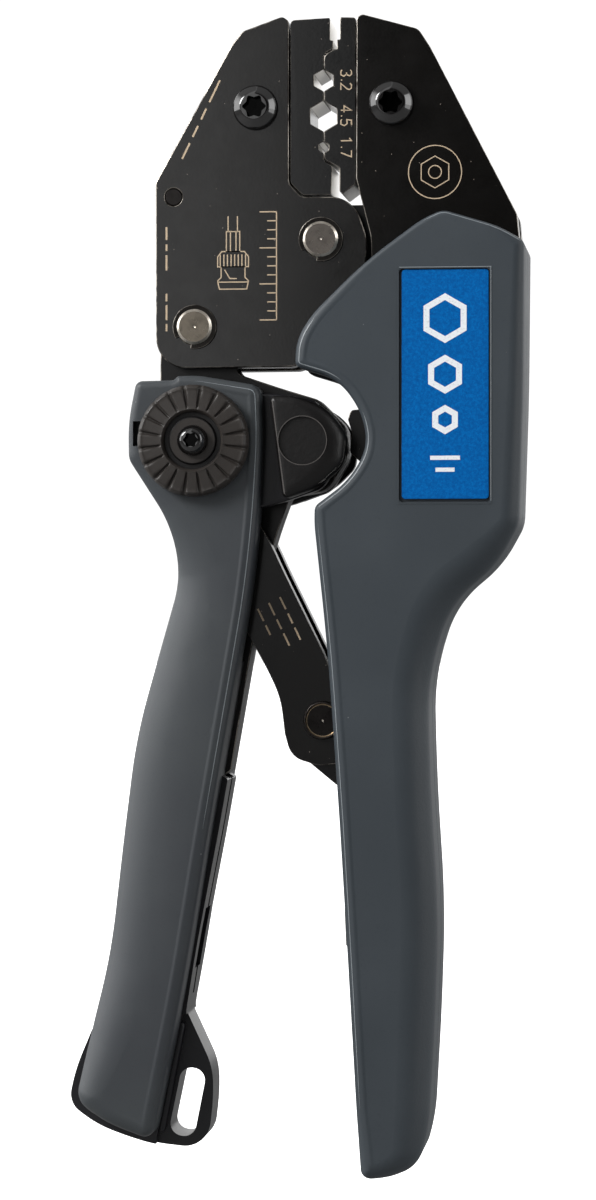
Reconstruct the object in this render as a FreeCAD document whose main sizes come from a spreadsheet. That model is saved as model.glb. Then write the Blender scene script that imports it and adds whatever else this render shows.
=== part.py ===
import FreeCAD, Part
import math
import os
import Sketcher

# A ratcheting hand crimping tool for coaxial connectors: a riveted steel frame with a fixed
# grip, a pivoting jaw, two bolted-in dies with three hexagonal nests, a toggle link and a
# moving handle with an adjusting wheel and a ratchet release.
#
# Outlines are drawn in millimetres from the main jaw pivot (x towards the fixed grip, z up).
# Every body is then placed so that the frame origin is the centre of the middle hexagonal
# nest.  Layers are stacked along Y and are symmetric about Y = 0, the front is at -Y.

os.makedirs("parts", exist_ok=True)
doc = FreeCAD.newDocument("crimping_tool")

# ---------------------------------------------------------------- driving dimensions
DIMENSIONS = [
    ("nest_x", 0.4, "middle nest centre, right of the main pivot"),
    ("nest_z", 21.0, "middle nest centre, above the main pivot"),
    ("core_half", 3.0, "thickness of one core lamination"),
    ("plate_outer", 7.0, "outer face of the jaw and frame plates"),
    ("layer_gap", 0.05, "running gap between stacked plates"),
    ("link_outer", 6.0, "outer face of the link plates"),
    ("cover_inner", 6.15, "inner face of the ratchet covers"),
    ("cover_outer", 9.0, "outer face of the ratchet covers"),
    ("die_half", 6.5, "half thickness of the dies"),
    ("tang_half", 2.95, "half thickness of the die tangs"),
    ("grip_outer", 13.0, "outer face of the grips"),
    ("cap_outer", 13.5, "outer face of the release caps"),
    ("wheel_outer", 16.0, "front face of the adjusting wheel"),
    ("pivot_radius", 3.0, "main pivot and handle pin"),
    ("anchor_radius", 2.5, "link anchor pin"),
    ("journal_radius", 3.5, "adjuster pin journal"),
    ("cam_radius", 3.2, "adjuster pin eccentric"),
    ("cam_offset", 0.25, "throw of the eccentric"),
    ("pawl_shaft_radius", 2.5, "ratchet pawl shaft"),
    ("screw_radius", 2.0, "die screw shank"),
    ("spring_pin_radius", 1.5, "spring anchor dowel"),
    ("run_gap", 0.05, "radial clearance of a turning pin"),
    ("drop_gap", 0.45, "radial play of the handle pin in the handle core"),
    ("large_nest", 4.52, "across flats of the large nest"),
    ("medium_nest", 3.25, "across flats of the medium nest"),
    ("small_nest", 1.69, "across flats of the small nest"),
    ("wheel_radius", 9.4, "adjusting wheel"),
    ("grip_round", 0.6, "rounding of the grip edges"),
    ("link_end_clearance", 8.8, "radius of the pocket around the link end in the fixed grip"),
    ("tooth_tip", 11.4, "radius over the ratchet teeth"),
    ("tooth_depth", 1.0, "depth of the ratchet teeth"),
]
sheet = doc.addObject("Spreadsheet::Sheet", "Dims")
for row, (alias, value, note) in enumerate(DIMENSIONS, 1):
    sheet.set(f"A{row}", note)
    sheet.set(f"B{row}", str(value))
    sheet.setAlias(f"B{row}", alias)
doc.recompute()


def dim(alias):
    return float(getattr(sheet, alias))


# Pivot positions in the drawing, from the main jaw pivot.
MAIN_PIVOT = (0.0, 0.0)
HANDLE_PIN = (-21.6, -14.7)
ADJUSTER = (-20.9, -34.4)
LINK_ANCHOR = (0.2, -81.7)
PAWL = (-2.5, -34.4)
SPRING_PIN = (-25.3, 7.5)
SCREW_LEFT = (-11.2, 22.5)
SCREW_RIGHT = (12.0, 22.9)
NEST_X = dim("nest_x")
NEST_Z = dim("nest_z")
MEDIUM_NEST_Z = NEST_Z + 6.1
SMALL_NEST_Z = NEST_Z - 5.3

# Distances from mid-plane and radii that the turned parts are drawn with.
PLATE_OUT = dim("plate_outer")
GRIP_OUT = dim("grip_outer")
WHEEL_OUT = dim("wheel_outer")
WHEEL_R = dim("wheel_radius")
JOURNAL_R = dim("journal_radius")
RIVET_R = dim("screw_radius")
ANCHOR_R = dim("anchor_radius")
SPRING_PIN_R = dim("spring_pin_radius")
PAWL_SHAFT_R = dim("pawl_shaft_radius")

EPS = 1e-6
SOFT = 500.0  # asks for the widest arc that fits the two neighbouring sides


# ---------------------------------------------------------------- outline helpers
def rounded_outline(corners):
    """Line and arc edges of a closed outline; a corner is (x, z) or (x, z, radius)."""
    count = len(corners)
    points = [FreeCAD.Vector(c[0], c[1], 0) for c in corners]
    radii = [c[2] if len(c) > 2 else 0.0 for c in corners]
    entries = []
    for i, point in enumerate(points):
        back = points[i - 1] - point
        ahead = points[(i + 1) % count] - point
        turn = math.pi - back.getAngle(ahead)
        if radii[i] < EPS or turn < 1e-4:
            entries.append((point, None, point))
            continue
        reach = min(radii[i] * math.tan(turn / 2), 0.499 * min(back.Length, ahead.Length))
        radius = reach / math.tan(turn / 2)
        start = point + back.normalize() * reach
        end = point + ahead.normalize() * reach
        bisector = (start + end) * 0.5 - point
        middle = point + bisector.normalize() * (radius / math.cos(turn / 2) - radius)
        entries.append((start, middle, end))
    edges = []
    for i, (start, middle, end) in enumerate(entries):
        if middle is not None:
            edges.append(Part.Arc(start, middle, end))
        following = entries[(i + 1) % count][0]
        if (following - end).Length > EPS:
            edges.append(Part.LineSegment(end, following))
    return edges


def soft(points, radius=SOFT):
    """Corners that all get the same rounding."""
    return [(x, z, radius) for x, z in points]


def polar(centre, radius, degrees):
    angle = math.radians(degrees)
    return (centre[0] + radius * math.cos(angle), centre[1] + radius * math.sin(angle))


def hexagon(centre, across_flats):
    """Hexagon with a corner at the top and at the bottom."""
    return [polar(centre, across_flats / math.sqrt(3), 90 + 60 * k) for k in range(6)]


# ---------------------------------------------------------------- body helpers
def new_body(name, centre=(0.0, 0.0), y="0"):
    """Body whose local origin is the drawing point `centre`, at height `y` in the stack."""
    body = doc.addObject("PartDesign::Body", name)
    body.Label = name
    body.setExpression(".Placement.Base.x", f"{centre[0]} - Dims.nest_x")
    body.setExpression(".Placement.Base.y", y)
    body.setExpression(".Placement.Base.z", f"{centre[1]} - Dims.nest_z")
    return body


def plane_of(body, role):
    return next(f for f in body.Origin.OriginFeatures if f.Role == role)


def face_sketch(body, name, edges=(), depth="0"):
    """Sketch facing the front; `depth` moves it towards the front."""
    sketch = body.newObject("Sketcher::SketchObject", f"{body.Name}_{name}")
    sketch.AttachmentSupport = (plane_of(body, "XZ_Plane"), [""])
    sketch.MapMode = "FlatFace"
    if depth != "0":
        sketch.setExpression(".AttachmentOffset.Base.z", depth)
    if edges:
        sketch.addGeometry(list(edges), False)
    return sketch


def add_circle(sketch, centre, radius):
    """Circle whose radius follows an expression on the dimension sheet."""
    number = sketch.addGeometry(
        Part.Circle(FreeCAD.Vector(centre[0], centre[1], 0), FreeCAD.Vector(0, 0, 1), 1.0), False
    )
    sketch.addConstraint(Sketcher.Constraint("DistanceX", -1, 1, number, 3, centre[0]))
    sketch.addConstraint(Sketcher.Constraint("DistanceY", -1, 1, number, 3, centre[1]))
    bound = sketch.addConstraint(Sketcher.Constraint("Radius", number, 1.0))
    sketch.setExpression(f"Constraints[{bound}]", radius)


def pad(body, sketch, length):
    """Pad towards the front."""
    feature = body.newObject("PartDesign::Pad", f"{sketch.Name}_pad")
    feature.Profile = sketch
    feature.setExpression("Length", length)
    doc.recompute()
    return feature


def pocket(body, sketch, length=None):
    """Cut towards the back from the sketch plane, or right through when no length is given."""
    before = body.Shape.Volume
    feature = body.newObject("PartDesign::Pocket", f"{sketch.Name}_pocket")
    feature.Profile = sketch
    if length is None:
        feature.Type = "ThroughAll"
        feature.Midplane = True
    else:
        feature.setExpression("Length", length)
    doc.recompute()
    if not body.Shape.Volume < before - EPS:
        raise RuntimeError(f"{feature.Name} removed nothing")
    return feature


def plate(name, outline, y, thickness, holes=(), cutouts=()):
    """Flat plate with its back face at `y`; holes are (centre, radius expression)."""
    body = new_body(name, y=y)
    sketch = face_sketch(body, "outline", rounded_outline(outline))
    for centre, radius in holes:
        add_circle(sketch, centre, radius)
    for cutout in cutouts:
        sketch.addGeometry(rounded_outline(cutout), False)
    pad(body, sketch, thickness)
    return body


def plate_pair(name, outline, inner, outer, holes=(), cutouts=()):
    """Front and back plates of the same outline, between two distances from mid-plane."""
    thickness = f"{outer} - ({inner})"
    plate(f"{name}_front", outline, f"-({inner})", thickness, holes, cutouts)
    plate(f"{name}_back", outline, outer, thickness, holes, cutouts)


def turned(name, centre, profile):
    """Body turned about Y from (radius, y) corners; negative y is the front."""
    body = new_body(name, centre)
    sketch = body.newObject("Sketcher::SketchObject", f"{name}_profile")
    sketch.AttachmentSupport = (plane_of(body, "XY_Plane"), [""])
    sketch.MapMode = "FlatFace"
    sketch.addGeometry(rounded_outline(profile), False)
    feature = body.newObject("PartDesign::Revolution", f"{name}_turning")
    feature.Profile = sketch
    feature.ReferenceAxis = (sketch, ["V_Axis"])
    feature.Angle = 360
    doc.recompute()
    return body


def soften(body, y, radius):
    """Round the rim of the face that lies at stack height `y` in the body's own frame."""
    tip = body.Tip
    rim = []
    for face in tip.Shape.Faces:
        box = face.BoundBox
        if abs(box.YMin - y) < 1e-4 and abs(box.YMax - y) < 1e-4:
            rim += [e for e in face.OuterWire.Edges]
    names = []
    for number, edge in enumerate(tip.Shape.Edges, 1):
        if any(edge.isSame(other) for other in rim):
            names.append(f"Edge{number}")
    feature = body.newObject("PartDesign::Fillet", f"{body.Name}_rim")
    feature.Base = (tip, names)
    feature.setExpression("Radius", radius)
    doc.recompute()
    return feature


# ---------------------------------------------------------------- moving jaw
JAW_OUTLINE = [
    (-5.5, 37.2, 0.8),
    (-6.6, 38.0, 1.0),
    (-13.4, 35.6, 2.0),
    (-15.2, 33.4, 2.5),
    (-28.4, 10.0, 1.5),
    (-28.3, -21.7, 5.2),
    (-4.0, -21.6, 3.0),
    (7.3, -8.2, 5.0),
    (7.9, 0.0, 8.0),
    (5.4, 7.2, 7.2),
    (-3.4, 7.3, 1.5),
    (-5.5, 9.6, 1.5),
]
plate_pair(
    "jaw_plate",
    JAW_OUTLINE,
    "Dims.core_half + Dims.layer_gap",
    "Dims.plate_outer",
    holes=[
        (MAIN_PIVOT, "Dims.pivot_radius + Dims.run_gap"),
        (HANDLE_PIN, "Dims.pivot_radius"),
        (SCREW_LEFT, "Dims.screw_radius"),
        (SPRING_PIN, "Dims.spring_pin_radius"),
    ],
)

# ---------------------------------------------------------------- fixed frame plates
FRAME_OUTLINE = [
    (6.1, 37.5, 0.8),
    (6.9, 38.2, 1.0),
    (16.6, 35.5, 2.0),
    (18.6, 32.4, 2.0),
    (33.3, 3.9, 2.0),
    (33.9, -3.0, 3.0),
    (33.2, -30.0, 3.0),
    (15.0, -30.0, 3.0),
    (12.4, -16.0, 4.0),
    (8.8, -8.0, 4.0),
    (8.5, 0.4, 8.0),
    (6.0, 10.2, 4.0),
]
FRAME_RIVETS = [(27.0, -4.0), (28.5, -24.0), (19.0, -24.0)]
plate_pair(
    "frame_plate",
    FRAME_OUTLINE,
    "Dims.core_half",
    "Dims.plate_outer",
    holes=[(SCREW_RIGHT, "Dims.screw_radius")]
    + [(centre, "Dims.screw_radius") for centre in FRAME_RIVETS],
)

# ---------------------------------------------------------------- frame core laminations
FRAME_CORE = [
    (-6.9, 6.2, 6.2),
    (8.0, 6.2, 1.0),
    (9.4, 9.0, 1.0),
    (20.4, 9.0, 1.5),
    (20.4, 28.0, 1.5),
    (22.4, 22.4, 1.0),
    (32.4, 3.4, 3.0),
    (32.6, -3.0, 3.0),
    (31.6, -46.0, 8.0),
    (18.0, -60.0, 10.0),
    (16.4, -84.0, SOFT),
    (17.8, -112.0, SOFT),
    (16.6, -128.0, 3.0),
    (8.2, -128.0, 3.0),
    (7.4, -120.6, 0.6),
    (3.9, -120.6, 0.6),
    (3.6, -113.6, 0.6),
    (6.8, -113.4, 0.6),
    (6.2, -94.0, 1.5),
    (2.2, -92.8, 1.0),
    (-3.4, -88.2, 1.5),
    (-6.0, -86.0, 4.0),
    (-5.6, -77.0, 5.0),
    (3.6, -73.0, 3.0),
    (4.6, -47.0, 3.0),
    (8.6, -41.0, 3.0),
    (6.6, -37.9, 1.0),
    (4.5, -36.0, 1.0),
    (4.9, -32.6, 0.5),
    (4.2, -30.4, 0.5),
    (4.7, -28.8, 0.8),
    (10.6, -28.4, 2.0),
    (10.8, -18.0, 4.0),
    (5.6, -8.4, 3.0),
    (-6.0, -6.4, 5.0),
]
plate_pair(
    "frame_core",
    FRAME_CORE,
    "0",
    "Dims.core_half",
    holes=[
        (MAIN_PIVOT, "Dims.pivot_radius"),
        (LINK_ANCHOR, "Dims.anchor_radius"),
    ]
    + [(centre, "Dims.screw_radius") for centre in FRAME_RIVETS],
)

# ---------------------------------------------------------------- dies
DIE_GAP = 0.08  # the die faces stop just short of each other
LEFT_DIE = [
    (-5.3, 37.4, 0.8),
    (1.5, 37.7, 0.3),
    (1.5, 33.9),
    (2.0, 33.8),
    (2.0, 32.5, 0.2),
    (NEST_X, 31.6, 1.0),
    (NEST_X, 13.4, 1.0),
    (1.9, 12.5, 0.4),
    (1.7, 7.6, 0.3),
    (-3.2, 7.6, 1.4),
    (-5.3, 9.7, 1.4),
]
RIGHT_DIE = [
    (3.2, 37.8, 0.3),
    (5.9, 37.7, 0.5),
    (5.9, 9.4, 0.8),
    (3.6, 7.7, 0.3),
    (3.1, 8.2, 0.3),
    (3.1, 12.2, 0.4),
    (NEST_X + DIE_GAP, 13.6, 1.0),
    (NEST_X + DIE_GAP, 31.4, 1.0),
    (2.1, 32.3, 0.2),
    (2.7, 32.4),
    (2.7, 34.0),
    (3.2, 34.0),
]
LEFT_TANG = [(-14.6, 31.0, 2.0), (-4.0, 34.0), (-4.0, 8.2), (-19.0, 10.4, 2.0)]
RIGHT_TANG = [(5.0, 34.0), (17.0, 31.0, 2.0), (19.6, 26.0, 2.0), (19.6, 11.0, 1.5), (5.0, 11.0)]
NESTS = [
    ((NEST_X, MEDIUM_NEST_Z), dim("medium_nest")),
    ((NEST_X, NEST_Z), dim("large_nest")),
    ((NEST_X, SMALL_NEST_Z), dim("small_nest")),
]


def die(name, outline, tang, screw):
    body = new_body(name, y="Dims.die_half")
    pad(body, face_sketch(body, "block", rounded_outline(outline)), "2 * Dims.die_half")
    tang_sketch = face_sketch(
        body, "tang", rounded_outline(tang), "Dims.die_half - Dims.tang_half"
    )
    pad(body, tang_sketch, "2 * Dims.tang_half")
    for number, (centre, across) in enumerate(NESTS):
        nest = face_sketch(body, f"nest{number}", rounded_outline(hexagon(centre, across)))
        pocket(body, nest)
    hole = face_sketch(body, "screw_hole")
    add_circle(hole, screw, "Dims.screw_radius")
    pocket(body, hole)
    return body


die("moving_die", LEFT_DIE, LEFT_TANG, SCREW_LEFT)
die("fixed_die", RIGHT_DIE, RIGHT_TANG, SCREW_RIGHT)


# ---------------------------------------------------------------- screws, pins and rings
def star_outline(centre, outer, inner, round_tip):
    """Six-lobed driver recess."""
    corners = []
    for k in range(6):
        corners.append((*polar(centre, outer, 60 * k), round_tip))
        corners.append((*polar(centre, inner, 60 * k + 30), round_tip))
    return corners


SCREW_HEAD_HEIGHT = 2.2
SCREW_HEAD_EDGE = 1.0
SOCKET_DEPTH = 1.6
LOBE_WAIST = 0.7  # radius between the lobes, as a part of the radius over them


def button_screw(name, centre, head_face, shank_end, head_radius, shank_radius, socket_radius):
    """Button-head screw: head standing on `head_face`, recess open to the front."""
    body = turned(
        name,
        centre,
        [
            (0.0, head_face - SCREW_HEAD_HEIGHT),
            (socket_radius + 0.2, head_face - SCREW_HEAD_HEIGHT, 0.8),
            (head_radius, head_face - SCREW_HEAD_EDGE, 1.6),
            (head_radius, head_face),
            (shank_radius, head_face),
            (shank_radius, shank_end),
            (0.0, shank_end),
        ],
    )
    star = star_outline((0, 0), socket_radius, socket_radius * LOBE_WAIST, 0.35)
    crown = str(SCREW_HEAD_HEIGHT - head_face)
    socket = face_sketch(body, "socket", rounded_outline(star), crown)
    pocket(body, socket, str(SOCKET_DEPTH))
    return body


DIE_SCREW_HEAD_R = 3.8
DIE_SCREW_SOCKET_R = 2.2
for screw_name, screw_centre in (("die_screw_moving", SCREW_LEFT), ("die_screw_fixed", SCREW_RIGHT)):
    button_screw(
        screw_name,
        screw_centre,
        -PLATE_OUT,
        PLATE_OUT,
        DIE_SCREW_HEAD_R,
        dim("screw_radius"),
        DIE_SCREW_SOCKET_R,
    )


def grooved_pin(name, centre, radius, half_length):
    """Plain pin with a retaining-ring groove and a chamfer at both ends."""
    groove_in = PLATE_OUT + 0.1
    groove_out = groove_in + 0.6
    groove_radius = radius - 0.35
    chamfer = 0.4
    half = [
        (radius, groove_in),
        (groove_radius, groove_in),
        (groove_radius, groove_out),
        (radius, groove_out),
        (radius, half_length - chamfer),
        (radius - chamfer, half_length),
    ]
    lower = [(r, -y) for r, y in reversed(half)]
    return turned(name, centre, [(0.0, -half_length)] + lower + half + [(0.0, half_length)])


PIVOT_HALF = PLATE_OUT + 1.2
grooved_pin("main_pivot_pin", MAIN_PIVOT, dim("pivot_radius"), PIVOT_HALF)
grooved_pin("handle_pin", HANDLE_PIN, dim("pivot_radius"), PIVOT_HALF)


def open_ring(centre, inner, outer, gap_centre, gap_half, thickness, y):
    """Flat snap ring with a gap, as a solid with its front face at `y`."""
    start = gap_centre + gap_half
    end = gap_centre - gap_half + 360
    middle = (start + end) / 2
    points = {}
    for label, radius in (("inner", inner), ("outer", outer)):
        points[label] = [
            FreeCAD.Vector(*polar(centre, radius, angle)[:1], y, polar(centre, radius, angle)[1])
            for angle in (start, middle, end)
        ]
    edges = [
        Part.Arc(*points["outer"]).toShape(),
        Part.LineSegment(points["outer"][2], points["inner"][2]).toShape(),
        Part.Arc(*reversed(points["inner"])).toShape(),
        Part.LineSegment(points["inner"][0], points["outer"][0]).toShape(),
    ]
    face = Part.Face(Part.Wire(edges))
    return face.extrude(FreeCAD.Vector(0, thickness, 0))


def placed_feature(name, shape, centre=(0.0, 0.0)):
    """Shape made by Part functions, placed like the bodies."""
    feature = doc.addObject("Part::Feature", name)
    feature.Label = name
    feature.Shape = shape
    feature.setExpression(".Placement.Base.x", f"{centre[0]} - Dims.nest_x")
    feature.setExpression(".Placement.Base.z", f"{centre[1]} - Dims.nest_z")
    return feature


RING_THICKNESS = 0.5
RING_Y = PLATE_OUT + 0.15
RING_GAP_AT = 235
RING_GAP_HALF = 24
for ring_name, ring_centre in (("main_pivot_rings", MAIN_PIVOT), ("handle_pin_rings", HANDLE_PIN)):
    ring_inner = dim("pivot_radius") - 0.3
    ring_outer = dim("pivot_radius") + 0.75
    rings = [
        open_ring((0, 0), ring_inner, ring_outer, RING_GAP_AT, RING_GAP_HALF, RING_THICKNESS, ring_y)
        for ring_y in (-RING_Y - RING_THICKNESS, RING_Y)
    ]
    placed_feature(ring_name, Part.makeCompound(rings), ring_centre)

turned(
    "spring_anchor_pin",
    SPRING_PIN,
    [
        (0.0, -PLATE_OUT),
        (SPRING_PIN_R - 0.2, -PLATE_OUT),
        (SPRING_PIN_R, -PLATE_OUT + 0.2),
        (SPRING_PIN_R, PLATE_OUT - 0.2),
        (SPRING_PIN_R - 0.2, PLATE_OUT),
        (0.0, PLATE_OUT),
    ],
)

ANCHOR_HEAD_R = 3.3
HEAD_IN = dim("link_outer") + 0.05
HEAD_OUT = HEAD_IN + 0.8
LIP = 0.3  # raised lip round the riveted head
turned(
    "link_anchor_pin",
    LINK_ANCHOR,
    [
        (0.0, -HEAD_OUT + LIP),
        (ANCHOR_HEAD_R - 2 * LIP, -HEAD_OUT + LIP),
        (ANCHOR_HEAD_R - 1.4 * LIP, -HEAD_OUT, 0.1),
        (ANCHOR_HEAD_R - 0.6 * LIP, -HEAD_OUT, 0.1),
        (ANCHOR_HEAD_R, -HEAD_IN - 0.3, 0.2),
        (ANCHOR_HEAD_R, -HEAD_IN),
        (ANCHOR_R, -HEAD_IN),
        (ANCHOR_R, HEAD_IN),
        (ANCHOR_HEAD_R, HEAD_IN),
        (ANCHOR_HEAD_R, HEAD_IN + 0.3, 0.2),
        (ANCHOR_HEAD_R - 0.6 * LIP, HEAD_OUT, 0.1),
        (ANCHOR_HEAD_R - 1.4 * LIP, HEAD_OUT, 0.1),
        (ANCHOR_HEAD_R - 2 * LIP, HEAD_OUT - LIP),
        (0.0, HEAD_OUT - LIP),
    ],
)

# Flush rivets that hold the frame plates on the core, under the grip.
rivets = [
    Part.makeCylinder(
        RIVET_R,
        2 * PLATE_OUT,
        FreeCAD.Vector(centre[0], -PLATE_OUT, centre[1]),
        FreeCAD.Vector(0, 1, 0),
    )
    for centre in FRAME_RIVETS
]
placed_feature("frame_rivets", Part.makeCompound(rivets))

# ---------------------------------------------------------------- link with ratchet teeth
TEETH = 9
TOOTH_PITCH = 6.0
FIRST_TOOTH = 4.0
TIP_R = dim("tooth_tip")
ROOT_R = TIP_R - dim("tooth_depth")


def link_outline():
    """Toggle link plate; saw teeth around the adjuster axis face the pawl."""
    corners = []
    for k in range(TEETH):
        angle = FIRST_TOOTH + k * TOOTH_PITCH
        corners.append(polar(ADJUSTER, ROOT_R, angle))
        corners.append(polar(ADJUSTER, TIP_R, angle + 0.35 * TOOTH_PITCH))
        corners.append(polar(ADJUSTER, TIP_R, angle + 0.5 * TOOTH_PITCH))
    last = FIRST_TOOTH + TEETH * TOOTH_PITCH
    corners.append(polar(ADJUSTER, ROOT_R, last))
    corners += [
        (*polar(ADJUSTER, 9.4, last + 25), 4.0),
        (*polar(ADJUSTER, 10.0, 130), 8.0),
        (*polar(ADJUSTER, 9.6, 190), 8.0),
        (-24.0, -46.0, 8.0),
        (-13.2, -66.0, 12.0),
        (-9.2, -73.2, SOFT),
        (-7.0, -78.0, SOFT),
        (-6.3, -84.0, 3.0),
        (-5.2, -88.0, 4.0),
        (-0.6, -89.4, 5.0),
        (6.6, -88.6, 6.6),
        (7.4, -78.0, 6.8),
        (2.3, -74.9, 3.0),
        (0.1, -69.8, SOFT),
        (-6.8, -55.9, SOFT),
        (-9.2, -50.6, SOFT),
        (*polar(ADJUSTER, ROOT_R + 2.4, -52), 4.0),
        (*polar(ADJUSTER, ROOT_R, -28), 3.0),
    ]
    return corners


plate_pair(
    "link_plate",
    link_outline(),
    "Dims.core_half + Dims.layer_gap",
    "Dims.link_outer",
    holes=[
        (ADJUSTER, "Dims.journal_radius + Dims.run_gap"),
        (LINK_ANCHOR, "Dims.anchor_radius + Dims.run_gap"),
    ],
)

# ---------------------------------------------------------------- handle core laminations
HANDLE_CORE = [
    (-28.0, -7.6, 2.6),
    (-15.0, -8.4, 6.2),
    (-15.0, -22.4, 2.0),
    (-7.1, -25.1, SOFT),
    (-0.8, -27.0, 3.0),
    (3.9, -31.6, 3.0),
    (4.2, -37.0, 4.0),
    (0.6, -42.6, 4.0),
    (-5.7, -43.6, 1.5),
    (-8.7, -51.8, SOFT),
    (-11.8, -66.4, SOFT),
    (-13.5, -75.7, SOFT),
    (-15.9, -90.5, 1.0),
    (-18.4, -92.0, 2.0),
    (-21.0, -106.0, SOFT),
    (-25.6, -127.0, 2.0),
    (-33.0, -128.0, 3.0),
    (-31.8, -112.0, SOFT),
    (-29.6, -92.0, SOFT),
    (-26.6, -76.0, SOFT),
    (-21.6, -62.0, SOFT),
    (-21.0, -52.0, SOFT),
    (-24.4, -46.4, SOFT),
    (-30.4, -38.0, 4.0),
    (-30.6, -26.0, 2.0),
    (-28.2, -24.0, 1.0),
]
plate_pair(
    "handle_core",
    HANDLE_CORE,
    "0",
    "Dims.core_half",
    holes=[
        (HANDLE_PIN, "Dims.pivot_radius + Dims.drop_gap"),
        (ADJUSTER, "Dims.journal_radius + Dims.run_gap"),
        (PAWL, "Dims.pawl_shaft_radius + Dims.run_gap"),
    ],
)

# ---------------------------------------------------------------- moving handle grips
MOVING_GRIP = [
    (-31.0, -24.1, 1.4),
    (-24.6, -24.0),
    (-23.8, -23.3, 0.5),
    (-20.5, -23.2, SOFT),
    (-9.7, -25.0, 2.2),
    (-9.3, -33.0, SOFT),
    (-10.0, -46.0, SOFT),
    (-11.5, -60.0, SOFT),
    (-14.5, -77.2, SOFT),
    (-18.5, -100.0, SOFT),
    (-22.9, -126.6, SOFT),
    (-28.2, -152.9, 2.0),
    (-36.6, -150.1, SOFT),
    (-41.8, -146.4, 3.6),
    (-39.6, -135.6, SOFT),
    (-36.2, -121.6, SOFT),
    (-34.0, -102.0, SOFT),
    (-31.8, -84.5, SOFT),
    (-28.0, -71.0, SOFT),
    (-24.0, -57.4, SOFT),
    (-25.4, -48.6, SOFT),
    (-32.4, -37.4, 3.5),
    (-32.4, -31.0, SOFT),
]
LINER = [
    (-15.6, -73.0, 0.8),
    (-13.9, -72.4, 0.8),
    (-14.8, -78.0, SOFT),
    (-17.1, -91.2),
    (-16.1, -91.8, 0.4),
    (-17.6, -100.4, SOFT),
    (-21.6, -121.0, SOFT),
    (-23.3, -131.8, 2.0),
    (-18.9, -141.2, 14.0),
    (-18.8, -146.4, SOFT),
    (-19.8, -155.2, 6.0),
    (-28.8, -154.3, SOFT),
    (-33.4, -153.0, SOFT),
    (-38.8, -151.0, SOFT),
    (-43.6, -147.4, 3.6),
    (-42.4, -141.6, SOFT),
    (-38.7, -132.8, SOFT),
    (-34.2, -134.0, 2.0),
    (-26.2, -130.0, 2.0),
    (-23.6, -121.0, SOFT),
    (-19.6, -100.0, SOFT),
    (-17.0, -85.0, SOFT),
]
CORE_SLOT = [
    (-40.0, -60.0),
    (-35.5, -128.6, 1.0),
    (-25.0, -128.6, 1.0),
    (-20.6, -106.0),
    (-17.6, -91.8),
    (-10.0, -91.8),
    (-10.0, -60.0),
]
INNER_SLIT = [(-23.0, -91.0), (-12.0, -91.0), (-18.0, -129.0), (-29.0, -129.0)]
INNER_WINDOW = [(-27.0, -114.1), (-15.0, -114.1), (-17.0, -124.4), (-29.0, -124.4)]
EYE_FLANGE = [(-24.0, -132.0), (-14.0, -132.0), (-14.0, -158.0), (-29.0, -158.0), (-28.3, -152.8)]
SLIT_HALF = 0.75
FLANGE_HALF = 4.2
LANYARD_SLOT = soft([(-26.6, -152.6), (-24.2, -141.0), (-19.9, -141.8), (-22.2, -153.4)], 2.1)
LINK_SWING = [
    (-31.2, -27.0, 3.0),
    (-31.2, -37.4, 4.0),
    (-25.6, -46.0, 6.0),
    (-14.6, -72.2, 4.0),
    (-4.0, -72.2),
    (-4.0, -20.0),
    (-16.0, -22.0),
]


def grown(outline, amount):
    """The outline moved outwards by `amount`, as edges."""
    wire = Part.Wire([edge.toShape() for edge in rounded_outline(outline)])
    return [Part.Wire(wire.makeOffset2D(amount).Edges)]


def wire_sketch(body, name, wires, depth):
    sketch = face_sketch(body, name, depth=depth)
    for wire in wires:
        for edge in wire.Edges:
            curve = edge.Curve.trim(edge.FirstParameter, edge.LastParameter)
            sketch.addGeometry(curve, False)
    return sketch


def hollow(body, front, wires, reach):
    """Cut a cavity from mid-plane to `reach` towards the outside of a grip half."""
    name = f"cavity_{len(body.Group)}"
    if front:
        sketch = wire_sketch(body, name, wires, reach)
    else:
        sketch = wire_sketch(body, name, wires, "Dims.grip_outer")
    return pocket(body, sketch, reach)


def outline_wire(outline):
    return [Part.Wire([edge.toShape() for edge in rounded_outline(outline)])]


def grip_half(name, outline, front, cavities):
    """Half of a moulded grip; cavities are (wires, reach from mid-plane)."""
    body = new_body(name, y="0" if front else "Dims.grip_outer")
    pad(body, face_sketch(body, "outline", rounded_outline(outline)), "Dims.grip_outer")
    outer_y = -dim("grip_outer") if front else 0.0
    soften(body, outer_y, "Dims.grip_round")
    for wires, reach in cavities:
        hollow(body, front, wires, reach)
    return body


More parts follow.
